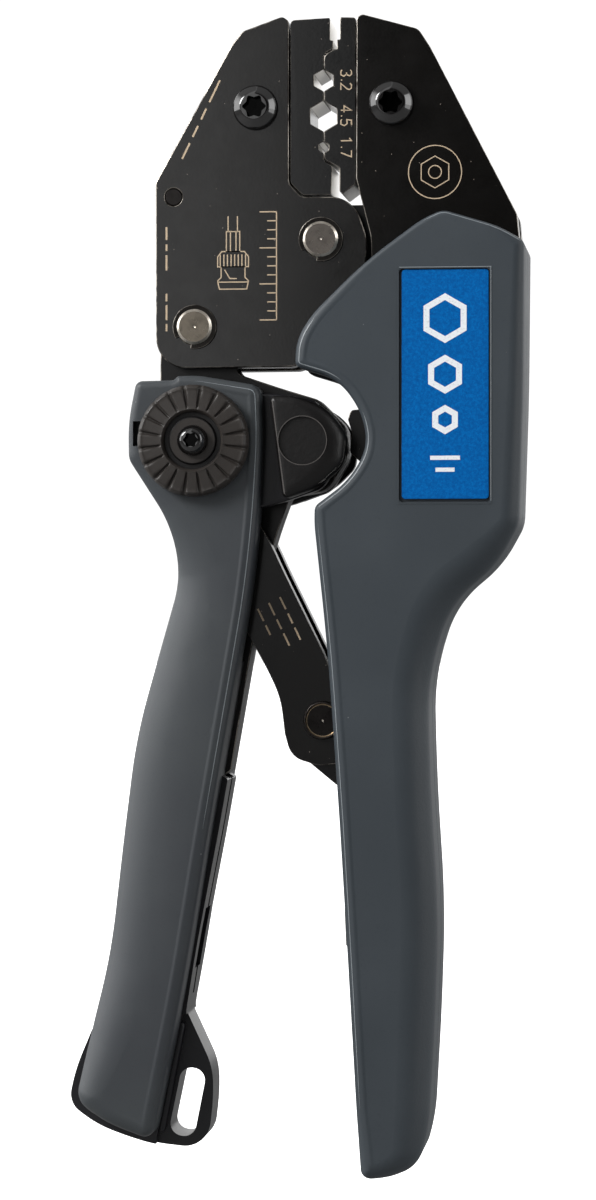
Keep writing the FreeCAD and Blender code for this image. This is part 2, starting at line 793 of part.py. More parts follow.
CORE_REACH = "Dims.core_half + 0.02"
LINK_REACH = "Dims.link_outer + 0.15"
PLATE_REACH = "Dims.plate_outer + 0.1"
MOVING_CAVITIES = [
    (grown(HANDLE_CORE, 0.05), CORE_REACH),
    (outline_wire(LINK_SWING), LINK_REACH),
    (grown(LINER, 0.05), "Dims.link_outer + 0.02"),
]
COVER = [
    (-13.0, -26.0, 0.6),
    (-6.0, -26.4, SOFT),
    (-1.0, -27.4, 3.0),
    (3.6, -31.8, 3.0),
    (3.9, -37.0, 4.0),
    (0.4, -42.4, 4.0),
    (-6.0, -44.6, 2.0),
    (-13.0, -46.4, 0.6),
]
INDEX_WINDOW = [(-31.4, -31.0), (-28.4, -31.0), (-28.4, -35.2), (-31.4, -35.2)]
for side, front in (("front", True), ("back", False)):
    half = grip_half(f"moving_grip_{side}", MOVING_GRIP, front, MOVING_CAVITIES)
    if front:
        index = face_sketch(half, "index", rounded_outline(INDEX_WINDOW), "Dims.grip_outer")
        pocket(half, index, "3")
    hollow(half, front, grown(COVER, 0.05), "Dims.cover_outer + 0.02")
    bore = face_sketch(half, "adjuster_bore")
    add_circle(bore, ADJUSTER, "Dims.journal_radius + Dims.run_gap")
    pocket(half, bore)

liner = new_body("handle_liner", y="Dims.link_outer")
liner_sketch = face_sketch(liner, "outline", rounded_outline(LINER))
liner_sketch.addGeometry(rounded_outline(LANYARD_SLOT), False)
pad(liner, liner_sketch, "2 * Dims.link_outer")

# Cuts in the liner: name, outline, and the two distances in front of mid-plane between which
# the material goes.
LINER_CUTS = [
    ("core_slot", CORE_SLOT, CORE_REACH, f"-({CORE_REACH})"),
    ("inner_slit", INNER_SLIT, SLIT_HALF, -SLIT_HALF),
    ("inner_window", INNER_WINDOW, CORE_REACH, f"-({CORE_REACH})"),
    ("flange_front", EYE_FLANGE, "Dims.link_outer", FLANGE_HALF),
    ("flange_back", EYE_FLANGE, -FLANGE_HALF, "-Dims.link_outer"),
]
for cut_name, cut_outline, cut_front, cut_back in LINER_CUTS:
    cut = face_sketch(
        liner, cut_name, rounded_outline(cut_outline), f"Dims.link_outer + {cut_front}"
    )
    pocket(liner, cut, f"{cut_front} - ({cut_back})")

plate_pair(
    "ratchet_cover",
    COVER,
    "Dims.cover_inner",
    "Dims.cover_outer",
    holes=[(PAWL, "Dims.pawl_shaft_radius + Dims.run_gap")],
)

# ---------------------------------------------------------------- adjusting wheel and pin
WHEEL_IN = GRIP_OUT + 0.05
SPIGOT_R = 2.6
WHEEL_CHAMFER = 0.8
WELL_R = 4.2
WELL_DEPTH = 0.7
FLUTES = 20
FLUTE = soft([(5.7, -0.32), (9.8, -0.42), (9.8, 0.42), (5.7, 0.32)], 0.3)
FLUTE_DEPTH = 0.5
wheel = turned(
    "adjusting_wheel",
    ADJUSTER,
    [
        (SPIGOT_R, -WHEEL_IN),
        (WHEEL_R, -WHEEL_IN),
        (WHEEL_R, -WHEEL_OUT + WHEEL_CHAMFER, 0.3),
        (WHEEL_R - WHEEL_CHAMFER, -WHEEL_OUT, 0.3),
        (WELL_R + WELL_DEPTH, -WHEEL_OUT, 0.3),
        (WELL_R, -WHEEL_OUT + WELL_DEPTH, 0.3),
        (SPIGOT_R, -WHEEL_OUT + WELL_DEPTH),
    ],
)
flute = face_sketch(wheel, "flute", rounded_outline(FLUTE), "Dims.wheel_outer")
flute_cut = pocket(wheel, flute, str(FLUTE_DEPTH))
flutes = wheel.newObject("PartDesign::PolarPattern", "wheel_flutes")
flutes.Originals = [flute_cut]
flutes.Axis = (plane_of(wheel, "Y_Axis"), [""])
flutes.Angle = 360
flutes.Occurrences = FLUTES
wheel.Tip = flutes
doc.recompute()

CAM_CORE_R = 2.6
CAM_IN = dim("core_half") + 0.02
CAM_OUT = dim("link_outer") + 0.02
pin = turned(
    "adjuster_pin",
    ADJUSTER,
    [
        (0.0, -WHEEL_OUT + 1.6),
        (SPIGOT_R, -WHEEL_OUT + 1.6),
        (SPIGOT_R, -WHEEL_IN),
        (JOURNAL_R, -WHEEL_IN),
        (JOURNAL_R, -CAM_OUT),
        (CAM_CORE_R, -CAM_OUT),
        (CAM_CORE_R, -CAM_IN),
        (JOURNAL_R, -CAM_IN),
        (JOURNAL_R, CAM_IN),
        (CAM_CORE_R, CAM_IN),
        (CAM_CORE_R, CAM_OUT),
        (JOURNAL_R, CAM_OUT),
        (JOURNAL_R, GRIP_OUT - 0.3),
        (JOURNAL_R - 0.3, GRIP_OUT),
        (0.0, GRIP_OUT),
    ],
)
for cam_name, cam_depth in (("front_cam", CAM_OUT), ("back_cam", -CAM_IN)):
    cam = face_sketch(pin, cam_name, depth=str(cam_depth))
    add_circle(cam, (dim("cam_offset"), 0.0), "Dims.cam_radius")
    cam_pad = pad(pin, cam, str(CAM_OUT - CAM_IN))
    cam_pad.Reversed = True
doc.recompute()

WELL_FLOOR = -WHEEL_OUT + WELL_DEPTH
button_screw("wheel_screw", ADJUSTER, WELL_FLOOR, WELL_FLOOR + 0.85, 2.55, 2.4, 1.45)

# ---------------------------------------------------------------- ratchet pawl and release caps
NOSE_TIP = ADJUSTER[0] + TIP_R + 0.15  # just clear of the teeth
PAWL_OUTLINE = [
    (NOSE_TIP, -34.7, 0.15),
    (-5.2, -37.6, 1.0),
    (-2.5, -39.0, 4.0),
    (1.8, -38.0, 3.6),
    (1.8, -30.6, 3.6),
    (-2.5, -29.8, 4.0),
    (-5.2, -31.2, 1.0),
    (NOSE_TIP, -34.1, 0.15),
]
plate_pair(
    "ratchet_pawl",
    PAWL_OUTLINE,
    "Dims.core_half + Dims.layer_gap",
    "Dims.link_outer",
    holes=[(PAWL, "Dims.pawl_shaft_radius")],
)
CAP_IN = dim("cover_outer") + 0.05
CAP_THICKNESS = f"Dims.cap_outer - {CAP_IN}"
CAP_ROUND = "0.6"
SEAT_DEPTH = 2.0
DISH_DEPTH = 0.5
THUMB_DISH_R = 4.1
SHAFT_END = CAP_IN + SEAT_DEPTH
turned(
    "pawl_shaft",
    PAWL,
    [
        (0.0, -SHAFT_END),
        (PAWL_SHAFT_R, -SHAFT_END),
        (PAWL_SHAFT_R, SHAFT_END),
        (0.0, SHAFT_END),
    ],
)
CAP_OUTLINE = [
    (-8.2, -26.8, 1.0),
    (-3.6, -26.8, SOFT),
    (1.9, -29.0, SOFT),
    (4.9, -33.6, 3.0),
    (4.4, -38.2, 3.4),
    (0.4, -42.2, SOFT),
    (-5.9, -44.4, 1.0),
]
for side in ("front", "back"):
    front = side == "front"
    cap = new_body(f"release_cap_{side}", y=f"-{CAP_IN}" if front else "Dims.cap_outer")
    pad(cap, face_sketch(cap, "outline", rounded_outline(CAP_OUTLINE)), CAP_THICKNESS)
    soften(cap, CAP_IN - dim("cap_outer") if front else 0.0, CAP_ROUND)
    seat = face_sketch(cap, "seat", depth=str(SEAT_DEPTH) if front else CAP_THICKNESS)
    add_circle(seat, PAWL, "Dims.pawl_shaft_radius")
    pocket(cap, seat, str(SEAT_DEPTH))
    dish = face_sketch(cap, "dish", depth=CAP_THICKNESS if front else str(DISH_DEPTH))
    add_circle(dish, PAWL, str(THUMB_DISH_R))
    pocket(cap, dish, str(DISH_DEPTH))

# ---------------------------------------------------------------- return spring
COIL_R = 1.5
WIRE_R = 0.27
COIL_PITCH = 0.7
HOOK_LENGTH = 3.6  # from an eye to the coiled part
LOWER_EYE = (-25.8, -9.6)
LOWER_EYE_R = 1.1
UPPER_EYE_R = SPRING_PIN_R + WIRE_R + 0.1
SPRING_RUN = (SPRING_PIN[0] - LOWER_EYE[0], SPRING_PIN[1] - LOWER_EYE[1])
COIL_LENGTH = math.hypot(*SPRING_RUN) - 2 * HOOK_LENGTH
TURNING_AXIS = FreeCAD.Vector(0, 1, 0)

helix = Part.makeHelix(COIL_PITCH, COIL_LENGTH, COIL_R)
section = Part.Wire(Part.makeCircle(WIRE_R, FreeCAD.Vector(COIL_R, 0, 0), TURNING_AXIS))
coil = Part.Wire(helix.Edges).makePipeShell([section], True, True)
hooks = []
for coil_end, eye_z, eye_radius in (
    (0.0, -HOOK_LENGTH, LOWER_EYE_R),
    (COIL_LENGTH, COIL_LENGTH + HOOK_LENGTH, UPPER_EYE_R),
):
    start = FreeCAD.Vector(COIL_R, 0, coil_end)
    end = FreeCAD.Vector(eye_radius, 0, eye_z)
    eye_centre = FreeCAD.Vector(0, 0, eye_z)
    hooks.append(Part.makeCylinder(WIRE_R, (end - start).Length, start, end - start))
    hooks.append(Part.makeSphere(WIRE_R, end))
    hooks.append(Part.makeTorus(eye_radius, WIRE_R, eye_centre, TURNING_AXIS))
spring_shape = coil.multiFuse(hooks)
spring_shape.translate(FreeCAD.Vector(0, 0, HOOK_LENGTH))
tilt = math.degrees(math.atan2(*SPRING_RUN))
spring_shape.rotate(FreeCAD.Vector(0, 0, 0), TURNING_AXIS, tilt)
placed_feature("return_spring", spring_shape, LOWER_EYE)

# ---------------------------------------------------------------- fixed grip
FIXED_GRIP = [
    (-3.95, -21.9, 1.3),
    (-3.7, -17.4, SOFT),
    (-1.2, -13.2, SOFT),
    (8.1, -4.1, SOFT),
    (17.6, 2.8, SOFT),
    (21.1, 4.3, 3.2),
    (30.4, 1.5, SOFT),
    (34.8, -1.0, 1.6),
    (34.6, -26.0, SOFT),
    (33.9, -48.4, 7.0),
    (30.2, -55.2, SOFT),
    (22.2, -62.0, SOFT),
    (18.4, -74.4, SOFT),
    (18.8, -92.0, SOFT),
    (20.2, -114.0, SOFT),
    (19.6, -132.0, SOFT),
    (18.6, -150.0, SOFT),
    (16.8, -156.8, SOFT),
    (11.6, -158.8, SOFT),
    (7.2, -158.9, 1.8),
    (6.4, -146.6, SOFT),
    (5.0, -122.0, SOFT),
    (3.6, -98.8, SOFT),
    (1.6, -70.0, SOFT),
    (-0.7, -48.4, SOFT),
    (-0.6, -45.4, 1.8),
    (5.3, -41.0, SOFT),
    (8.4, -35.4, SOFT),
    (7.4, -29.8, SOFT),
    (3.6, -24.2, SOFT),
]
HEAD_CAVITY = [
    (-10.0, -26.0),
    (-8.0, -4.0),
    (6.0, 9.6),
    (34.0, 9.6),
    (34.0, -3.4, 2.0),
    (33.3, -30.1, 2.0),
    (14.9, -30.1, 2.0),
    (12.3, -22.0, 3.0),
    (2.6, -24.2, 2.0),
]
FIXED_CAVITIES = [
    (grown(FRAME_CORE, 0.05), CORE_REACH),
    (outline_wire(HEAD_CAVITY), PLATE_REACH),
]
LABEL_RECESS = soft([(13.7, -5.6), (29.05, -5.6), (29.05, -44.9), (13.7, -44.9)], 0.8)
LABEL = soft([(14.2, -5.8), (28.85, -5.8), (28.85, -44.3), (14.2, -44.3)], 0.6)
LABEL_DEPTH = 0.8
LABEL_THICKNESS = 0.5
for side, front in (("front", True), ("back", False)):
    half = grip_half(f"fixed_grip_{side}", FIXED_GRIP, front, FIXED_CAVITIES)
    link_end = face_sketch(half, "link_end", depth=PLATE_REACH if front else "Dims.grip_outer")
    add_circle(link_end, LINK_ANCHOR, "Dims.link_end_clearance")
    pocket(half, link_end, PLATE_REACH)
    if front:
        recess_edges = rounded_outline(LABEL_RECESS)
        recess = face_sketch(half, "label_recess", recess_edges, "Dims.grip_outer")
        pocket(half, recess, str(LABEL_DEPTH))
plate("label_plate", LABEL, f"{LABEL_DEPTH} - Dims.grip_outer", str(LABEL_THICKNESS))

# ---------------------------------------------------------------- checks and export
doc.recompute()
for item in doc.Objects:
    if {"Invalid", "Error"} & set(item.State):
        raise RuntimeError(f"{item.Name}: {item.State}")
parts = [o for o in doc.Objects if o.TypeId in ("PartDesign::Body", "Part::Feature")]
for item in parts:
    if item.Shape.isNull() or not item.Shape.isValid() or item.Shape.Volume <= 0:
        raise RuntimeError(f"{item.Label} has a bad shape")
for item in parts:
    item.Shape.exportStep(f"parts/{item.Label}.step")
print(len(parts), "parts written")
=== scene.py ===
import math

import bmesh
import bpy
import numpy as np
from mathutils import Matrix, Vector
from mathutils.geometry import delaunay_2d_cdt


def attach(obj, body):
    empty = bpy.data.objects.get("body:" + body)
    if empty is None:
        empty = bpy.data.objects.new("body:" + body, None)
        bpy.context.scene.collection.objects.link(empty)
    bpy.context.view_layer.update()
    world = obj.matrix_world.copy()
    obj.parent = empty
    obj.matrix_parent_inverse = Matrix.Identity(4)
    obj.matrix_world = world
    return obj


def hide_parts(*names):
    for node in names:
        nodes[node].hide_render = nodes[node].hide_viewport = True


# The crimping tool's looks. Outlines are in drawing millimetres from the main jaw pivot, like
# the CAD source; at() turns them into row-frame metres.  The front of the tool faces -Y.

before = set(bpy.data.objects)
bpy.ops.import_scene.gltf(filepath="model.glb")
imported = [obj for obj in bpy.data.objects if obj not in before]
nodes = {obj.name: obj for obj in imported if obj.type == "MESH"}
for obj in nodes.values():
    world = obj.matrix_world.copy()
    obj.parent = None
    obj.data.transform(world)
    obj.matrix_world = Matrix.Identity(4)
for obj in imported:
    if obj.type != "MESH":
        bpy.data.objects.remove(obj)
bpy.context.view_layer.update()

MM = 0.001
# Drawing millimetres: the large nest, and the axes of the round parts.
NEST_X = 0.4
NEST_Z = 21.0
MAIN_PIVOT = (0.0, 0.0)
HANDLE_PIN = (-21.6, -14.7)
LINK_ANCHOR = (0.2, -81.7)
ADJUSTER = (-20.9, -34.4)
THUMB_DISH = (-2.5, -34.4)
LEFT_SCREW = (-11.2, 22.5)
RIGHT_SCREW = (12.0, 22.9)
# Front faces, millimetres in front of the middle plane.
GRIP_FACE = 12.86
CAP_FACE = 13.46
CAP_FLOOR = 8.9
DIE_SCREW_CROWN = 9.2
WHEEL_SCREW_CROWN = 17.5
# A corner radius that takes up as much of its two sides as there is.
SOFT = 500.0


def at(x, z, y=0.0):
    return Vector(((x - NEST_X) * MM, y * MM, (z - NEST_Z) * MM))


def srgb(red, green, blue):
    linear = []
    for value in (red, green, blue):
        c = value / 255
        linear.append(c / 12.92 if c <= 0.04045 else ((c + 0.055) / 1.055) ** 2.4)
    return (*linear, 1.0)


# ---------------------------------------------------------------- material building blocks
class Finish:
    """A Principled material with helpers for the procedural detail around it."""

    def __init__(self, name, colour, rough, metallic=0.0, specular=0.5):
        self.material = bpy.data.materials.new(name)
        self.material.use_nodes = True
        self.tree = self.material.node_tree
        self.shader = self.tree.nodes["Principled BSDF"]
        self.shader.inputs["Base Color"].default_value = colour
        self.shader.inputs["Roughness"].default_value = rough
        self.shader.inputs["Metallic"].default_value = metallic
        self.shader.inputs["Specular IOR Level"].default_value = specular
        self.colour = self.constant_colour(colour)
        self.rough = self.constant(rough)
        self.coords = self.node("ShaderNodeTexCoord").outputs["Object"]
        self.bumps = []

    def node(self, kind, **settings):
        made = self.tree.nodes.new(kind)
        for key, value in settings.items():
            setattr(made, key, value)
        return made

    def link(self, output, target):
        self.tree.links.new(output, target)

    def constant(self, value):
        made = self.node("ShaderNodeValue")
        made.outputs[0].default_value = value
        return made.outputs[0]

    def constant_colour(self, value):
        made = self.node("ShaderNodeRGB")
        made.outputs[0].default_value = value
        return made.outputs[0]

    def maths(self, operation, first, second=0.0, third=0.0):
        made = self.node("ShaderNodeMath", operation=operation)
        for slot, value in enumerate((first, second, third)):
            if isinstance(value, (int, float)):
                made.inputs[slot].default_value = value
            else:
                self.link(value, made.inputs[slot])
        return made.outputs[0]

    def noise(self, per_mm, detail=2.0, roughness=0.5):
        """Noise with `per_mm` features per millimetre, about 0.3 to 0.7."""
        made = self.node("ShaderNodeTexNoise")
        made.inputs["Scale"].default_value = per_mm / MM
        made.inputs["Detail"].default_value = detail
        made.inputs["Roughness"].default_value = roughness
        self.link(self.coords, made.inputs["Vector"])
        return made.outputs["Fac"]

    def cells(self, per_mm):
        """Distance to the nearest scattered point, in cell sizes."""
        made = self.node("ShaderNodeTexVoronoi")
        made.inputs["Scale"].default_value = per_mm / MM
        self.link(self.coords, made.inputs["Vector"])
        return made.outputs["Distance"]

    def ramp(self, value, low, high, start=0.0, end=1.0):
        made = self.node("ShaderNodeMapRange", interpolation_type="SMOOTHSTEP")
        self.link(value, made.inputs["Value"])
        made.inputs["From Min"].default_value = low
        made.inputs["From Max"].default_value = high
        made.inputs["To Min"].default_value = start
        made.inputs["To Max"].default_value = end
        return made.outputs["Result"]

    def mix_colour(self, mask, colour):
        made = self.node("ShaderNodeMix", data_type="RGBA")
        self.link(mask, made.inputs["Factor"])
        self.link(self.colour, made.inputs["A"])
        if isinstance(colour, tuple):
            made.inputs["B"].default_value = colour
        else:
            self.link(colour, made.inputs["B"])
        self.colour = made.outputs["Result"]

    def mix_rough(self, mask, value):
        made = self.node("ShaderNodeMix", data_type="FLOAT")
        self.link(mask, made.inputs["Factor"])
        self.link(self.rough, made.inputs["A"])
        made.inputs["B"].default_value = value
        self.rough = made.outputs["Result"]

    def add_rough(self, noise, swing):
        shift = self.maths("MULTIPLY", self.maths("SUBTRACT", noise, 0.5), swing)
        self.rough = self.maths("ADD", self.rough, shift)

    def bump(self, height, depth_mm, strength=1.0):
        self.bumps.append((height, depth_mm, strength))

    def side_mask(self, low=0.35, high=0.65):
        """1 on faces that stand along Y, 0 on the flat front and back faces."""
        geometry = self.node("ShaderNodeNewGeometry")
        turn = self.node("ShaderNodeVectorTransform", vector_type="NORMAL")
        turn.convert_from = "WORLD"
        turn.convert_to = "OBJECT"
        self.link(geometry.outputs["True Normal"], turn.inputs["Vector"])
        split = self.node("ShaderNodeSeparateXYZ")
        self.link(turn.outputs["Vector"], split.inputs["Vector"])
        flat = self.maths("ABSOLUTE", split.outputs["Y"])
        return self.ramp(flat, low, high, 1.0, 0.0)

    def axes(self):
        split = self.node("ShaderNodeSeparateXYZ")
        self.link(self.coords, split.inputs["Vector"])
        return split.outputs["X"], split.outputs["Y"], split.outputs["Z"]

    def radius_from(self, x, z):
        """Distance in millimetres from an axis along Y through a drawing point."""
        centre = at(x, z)
        px, _, pz = self.axes()
        dx = self.maths("SUBTRACT", px, centre.x)
        dz = self.maths("SUBTRACT", pz, centre.z)
        square = self.maths("ADD", self.maths("MULTIPLY", dx, dx), self.maths("MULTIPLY", dz, dz))
        return self.maths("MULTIPLY", self.maths("SQRT", square), 1 / MM)

    def finish(self):
        self.link(self.colour, self.shader.inputs["Base Color"])
        self.link(self.rough, self.shader.inputs["Roughness"])
        previous = None
        for height, depth_mm, strength in self.bumps:
            made = self.node("ShaderNodeBump")
            made.inputs["Strength"].default_value = strength
            made.inputs["Distance"].default_value = depth_mm * MM
            self.link(height, made.inputs["Height"])
            if previous is not None:
                self.link(previous, made.inputs["Normal"])
            previous = made.outputs["Normal"]
        if previous is not None:
            self.link(previous, self.shader.inputs["Normal"])
        return self.material


def shade(colour, factor):
    return (*(c * factor for c in colour[:3]), 1.0)


def black_oxide(name, colour, rough=0.2, bright_zone=None, specular=0.5):
    """Blackened steel: mottled sheen, faint grain, a few pale specks, bare metal in the nests, and side
    walls painted lighter as a painted highlight.
    """
    f = Finish(name, colour, rough, specular=specular)
    f.mix_colour(f.ramp(f.noise(0.12, 4, 0.6), 0.35, 0.75), shade(colour, 1.4))
    # Painted highlight: the cut side walls are painted lighter.
    f.mix_colour(f.side_mask(), shade(colour, 1.9))
    f.mix_rough(f.side_mask(), rough + 0.1)
    f.add_rough(f.noise(0.35, 4, 0.65), 0.12)
    f.add_rough(f.noise(3.0, 2), 0.08)
    f.mix_colour(f.ramp(f.cells(0.55), 0.026, 0.045, 1.0, 0.0), srgb(150, 140, 130))
    if bright_zone is not None:
        px, _, _ = f.axes()
        centre = at(bright_zone[0], 0).x
        near = f.maths("ABSOLUTE", f.maths("SUBTRACT", px, centre))
        inside = f.ramp(near, (bright_zone[1] - 0.1) * MM, bright_zone[1] * MM, 1.0, 0.0)
        mask = f.maths("MULTIPLY", inside, f.side_mask(0.4, 0.6))
        f.mix_colour(mask, srgb(232, 230, 226))
        f.link(mask, f.shader.inputs["Metallic"])
        f.mix_rough(mask, 0.34)
    f.bump(f.noise(2.4, 3, 0.6), 0.006, 0.5)
    return f.finish()


def painted_edge_highlight(name, bright, dark):
    """Edge bevels in a light bare-metal colour, broken up by noise: a painted highlight along the edges.
    """
    f = Finish(name, bright, 0.3, metallic=1.0)
    f.mix_colour(f.ramp(f.noise(0.22, 4, 0.7), 0.42, 0.62), dark)
    f.add_rough(f.noise(1.4, 3, 0.6), 0.2)
    f.bump(f.noise(3.0, 2), 0.01, 0.5)
    return f.finish()


def gloss_black(name, axis, recess, crown):
    """Glossy black screw; its driver recess is painted darker and made duller, as painted shade in the
    recess.
    """
    gloss = 0.9
    f = Finish(name, srgb(14, 13, 13), 0.07, specular=gloss)
    f.add_rough(f.noise(0.9, 3), 0.06)
    inside = f.ramp(f.radius_from(*axis), recess, recess + 0.15, 1.0, 0.0)
    _, py, _ = f.axes()
    deep = f.ramp(py, (0.15 - crown) * MM, (0.35 - crown) * MM)
    # Painted shade: the recess is painted near black.
    mask = f.maths("MULTIPLY", inside, deep)
    f.mix_colour(mask, srgb(3, 3, 3))
    f.link(f.maths("MULTIPLY_ADD", mask, 0.05 - gloss, gloss), f.shader.inputs["Specular IOR Level"])
    f.bump(f.noise(0.5, 2), 0.02, 0.35)
    return f.finish()


def lathe_steel(name, axis, radius, face, rim, ring_highlight=None):
    """Turned pin end: fine rings on a dull face, a chamfer painted lighter as a painted highlight, a
    bright centre mark, a light ring painted as a highlight where one is given, and side walls painted
    darker as painted shade.
    """
    f = Finish(name, face, 0.3, metallic=1.0)
    r = f.radius_from(*axis)
    rings = f.maths("SINE", f.maths("MULTIPLY", r, 26.0))
    uneven = f.noise(0.8, 3, 0.6)
    f.bump(f.maths("MULTIPLY", rings, uneven), 0.008, 0.5)
    f.bump(f.ramp(r, 0.1, 0.34), 0.12, 0.8)
    f.add_rough(f.noise(1.4, 3), 0.22)
    f.mix_colour(f.ramp(f.noise(0.5, 3, 0.6), 0.4, 0.75), shade(face, 0.7))
    f.mix_colour(f.ramp(r, 0.1, 0.22, 1.0, 0.0), srgb(176, 170, 160))
    # Painted highlight: the chamfer ring is painted lighter.
    f.mix_colour(f.ramp(r, radius - 0.44, radius - 0.38), rim)
    # Painted highlight: a light ring at ring_highlight.
    if ring_highlight is not None:
        line = f.ramp(f.maths("ABSOLUTE", f.maths("SUBTRACT", r, ring_highlight)), 0.08, 0.14, 1.0, 0.0)
        f.mix_colour(line, srgb(190, 170, 142))
    # Painted shade: the side walls are painted darker.
    f.mix_colour(f.side_mask(0.2, 0.4), shade(face, 0.35))
    return f.finish()


def moulded(
    name, colour, light, rough, grain_mm=0.03, grain_scale=2.6, coarse_mm=0.0, groove_shade=None
):
    """Moulded plastic: fine spark-eroded grain, soft unevenness, small scuffs.

    `coarse_mm` adds a deeper grain where the surface turns away from the flat faces, and
    `groove_shade` (axis, inner radius, outer radius) paints a blacker ring, as painted shade in a
    groove."""
    f = Finish(name, colour, rough, specular=0.3)
    f.mix_colour(f.ramp(f.noise(0.03, 3, 0.55), 0.3, 0.75), light)
    f.mix_colour(f.ramp(f.noise(1.6, 3, 0.7), 0.55, 0.8, 0.0, 0.5), shade(colour, 0.8))
    f.mix_colour(f.ramp(f.cells(0.16), 0.012, 0.02, 1.0, 0.0), srgb(120, 122, 124))
    if groove_shade is not None:
        axis, inner, outer = groove_shade
        away = f.radius_from(*axis)
        # Painted shade: the groove ring is painted blacker.
        within = f.ramp(away, outer, outer + 0.15, 1.0, 0.0)
        beyond = f.ramp(away, inner - 0.15, inner, 0.0, 1.0)
        f.mix_colour(f.maths("MULTIPLY", within, beyond), srgb(14, 13, 13))
    f.add_rough(f.noise(0.12, 4, 0.6), 0.12)
    f.bump(f.noise(grain_scale, 3, 0.65), grain_mm, 0.5)
    if coarse_mm > 0:
        turned_away = f.side_mask(0.8, 0.985)
        f.bump(f.maths("MULTIPLY", f.noise(1.5, 3, 0.7), turned_away), coarse_mm, 0.6)
    f.bump(f.noise(0.05, 2), 0.2, 0.25)
    return f.finish()


def satin_metal(name, colour, rough):
    f = Finish(name, colour, rough, metallic=1.0)
    f.add_rough(f.noise(1.2, 3, 0.6), 0.2)
    f.mix_colour(f.ramp(f.noise(0.6, 3), 0.4, 0.7, 0.0, 0.6), shade(colour, 0.6))
    f.bump(f.noise(3.0, 2), 0.012, 0.5)
    return f.finish()


def blue_film(name):
    f = Finish(name, srgb(0, 82, 150), 0.45, specular=0.08)
    f.mix_colour(f.ramp(f.noise(1.8, 3, 0.8), 0.35, 0.7), srgb(0, 102, 176))
    f.mix_colour(f.ramp(f.noise(5.0, 2, 0.8), 0.5, 0.75, 0.0, 0.6), srgb(0, 64, 128))
    f.bump(f.noise(2.2, 3, 0.7), 0.02, 0.5)
    return f.finish()


def plain_paint(name, colour, rough=0.5):
    f = Finish(name, colour, rough, specular=0.3)
    f.mix_colour(f.ramp(f.noise(3.0, 3, 0.7), 0.5, 0.75), shade(colour, 0.72))
    f.bump(f.noise(4.0, 2), 0.01, 0.5)
    return f.finish()


OXIDE = srgb(12, 11, 10)
black_plate = black_oxide("black_plate", OXIDE, 0.13)
black_die = black_oxide("black_die", srgb(12, 12, 12), 0.13, bright_zone=(2.4, 4.2))
black_frame = black_oxide("black_frame", OXIDE, 0.13, specular=0.22)
black_link = black_oxide("black_link", OXIDE, 0.18, specular=0.32)
black_core = black_oxide("black_core", srgb(13, 12, 12), 0.3, specular=0.35)
edge_highlight_paint = painted_edge_highlight("plate_edge_highlight", srgb(150, 144, 136), srgb(58, 55, 52))
left_screw = gloss_black("screw_black_left", LEFT_SCREW, 2.2, DIE_SCREW_CROWN)
right_screw = gloss_black("screw_black_right", RIGHT_SCREW, 2.2, DIE_SCREW_CROWN)
PIN_CHAMFER_HIGHLIGHT = srgb(222, 214, 202)
main_pin = lathe_steel("main_pin_steel", MAIN_PIVOT, 3.0, srgb(116, 110, 104), PIN_CHAMFER_HIGHLIGHT)
jaw_pin = lathe_steel("handle_pin_steel", HANDLE_PIN, 3.0, srgb(132, 124, 112), PIN_CHAMFER_HIGHLIGHT)
anchor_pin = lathe_steel(
    "anchor_pin_steel", LINK_ANCHOR, 3.3, srgb(40, 38, 37), srgb(58, 54, 52), ring_highlight=2.75
)
dark_ring = satin_metal("ring_spring_steel", srgb(44, 42, 40), 0.28)
wheel_screw_black = gloss_black("wheel_screw_black", ADJUSTER, 1.45, WHEEL_SCREW_CROWN)
spring_wire = satin_metal("spring_wire", srgb(150, 146, 140), 0.28)
dowel = satin_metal("dowel_steel", srgb(48, 46, 45), 0.42)
slate = moulded("fixed_grip_slate", srgb(53, 59, 64), srgb(60, 66, 71), 0.5, coarse_mm=0.09)
# Light colours for painted highlights along the grip, cap and label edges.
slate_highlight = plain_paint("grip_edge_highlight", srgb(128, 134, 138), 0.4)
cap_highlight = plain_paint("cap_edge_highlight", srgb(206, 204, 200), 0.3)
cap_soft_highlight = plain_paint("cap_edge_soft_highlight", srgb(74, 71, 69), 0.4)
slate_moving = moulded("moving_grip_slate", srgb(55, 58, 62), srgb(62, 66, 68), 0.46)
liner_black = moulded("liner_black", srgb(24, 24, 27), srgb(30, 30, 33), 0.3)
control = moulded(
    "control_brown_black",
    srgb(40, 37, 35),
    srgb(48, 44, 41),
    0.42,
    grain_mm=0.05,
    grain_scale=1.9,
    groove_shade=(ADJUSTER, 3.85, 4.75),
)
cap_finish = moulded("cap_brown_black", srgb(12, 11, 11), srgb(18, 16, 16), 0.4, 0.09, 1.3, 0.05)
film = blue_film("label_blue")
white_ink = plain_paint("label_white", srgb(226, 230, 234))
etch = plain_paint("etched_tan", srgb(188, 168, 142), 0.6)


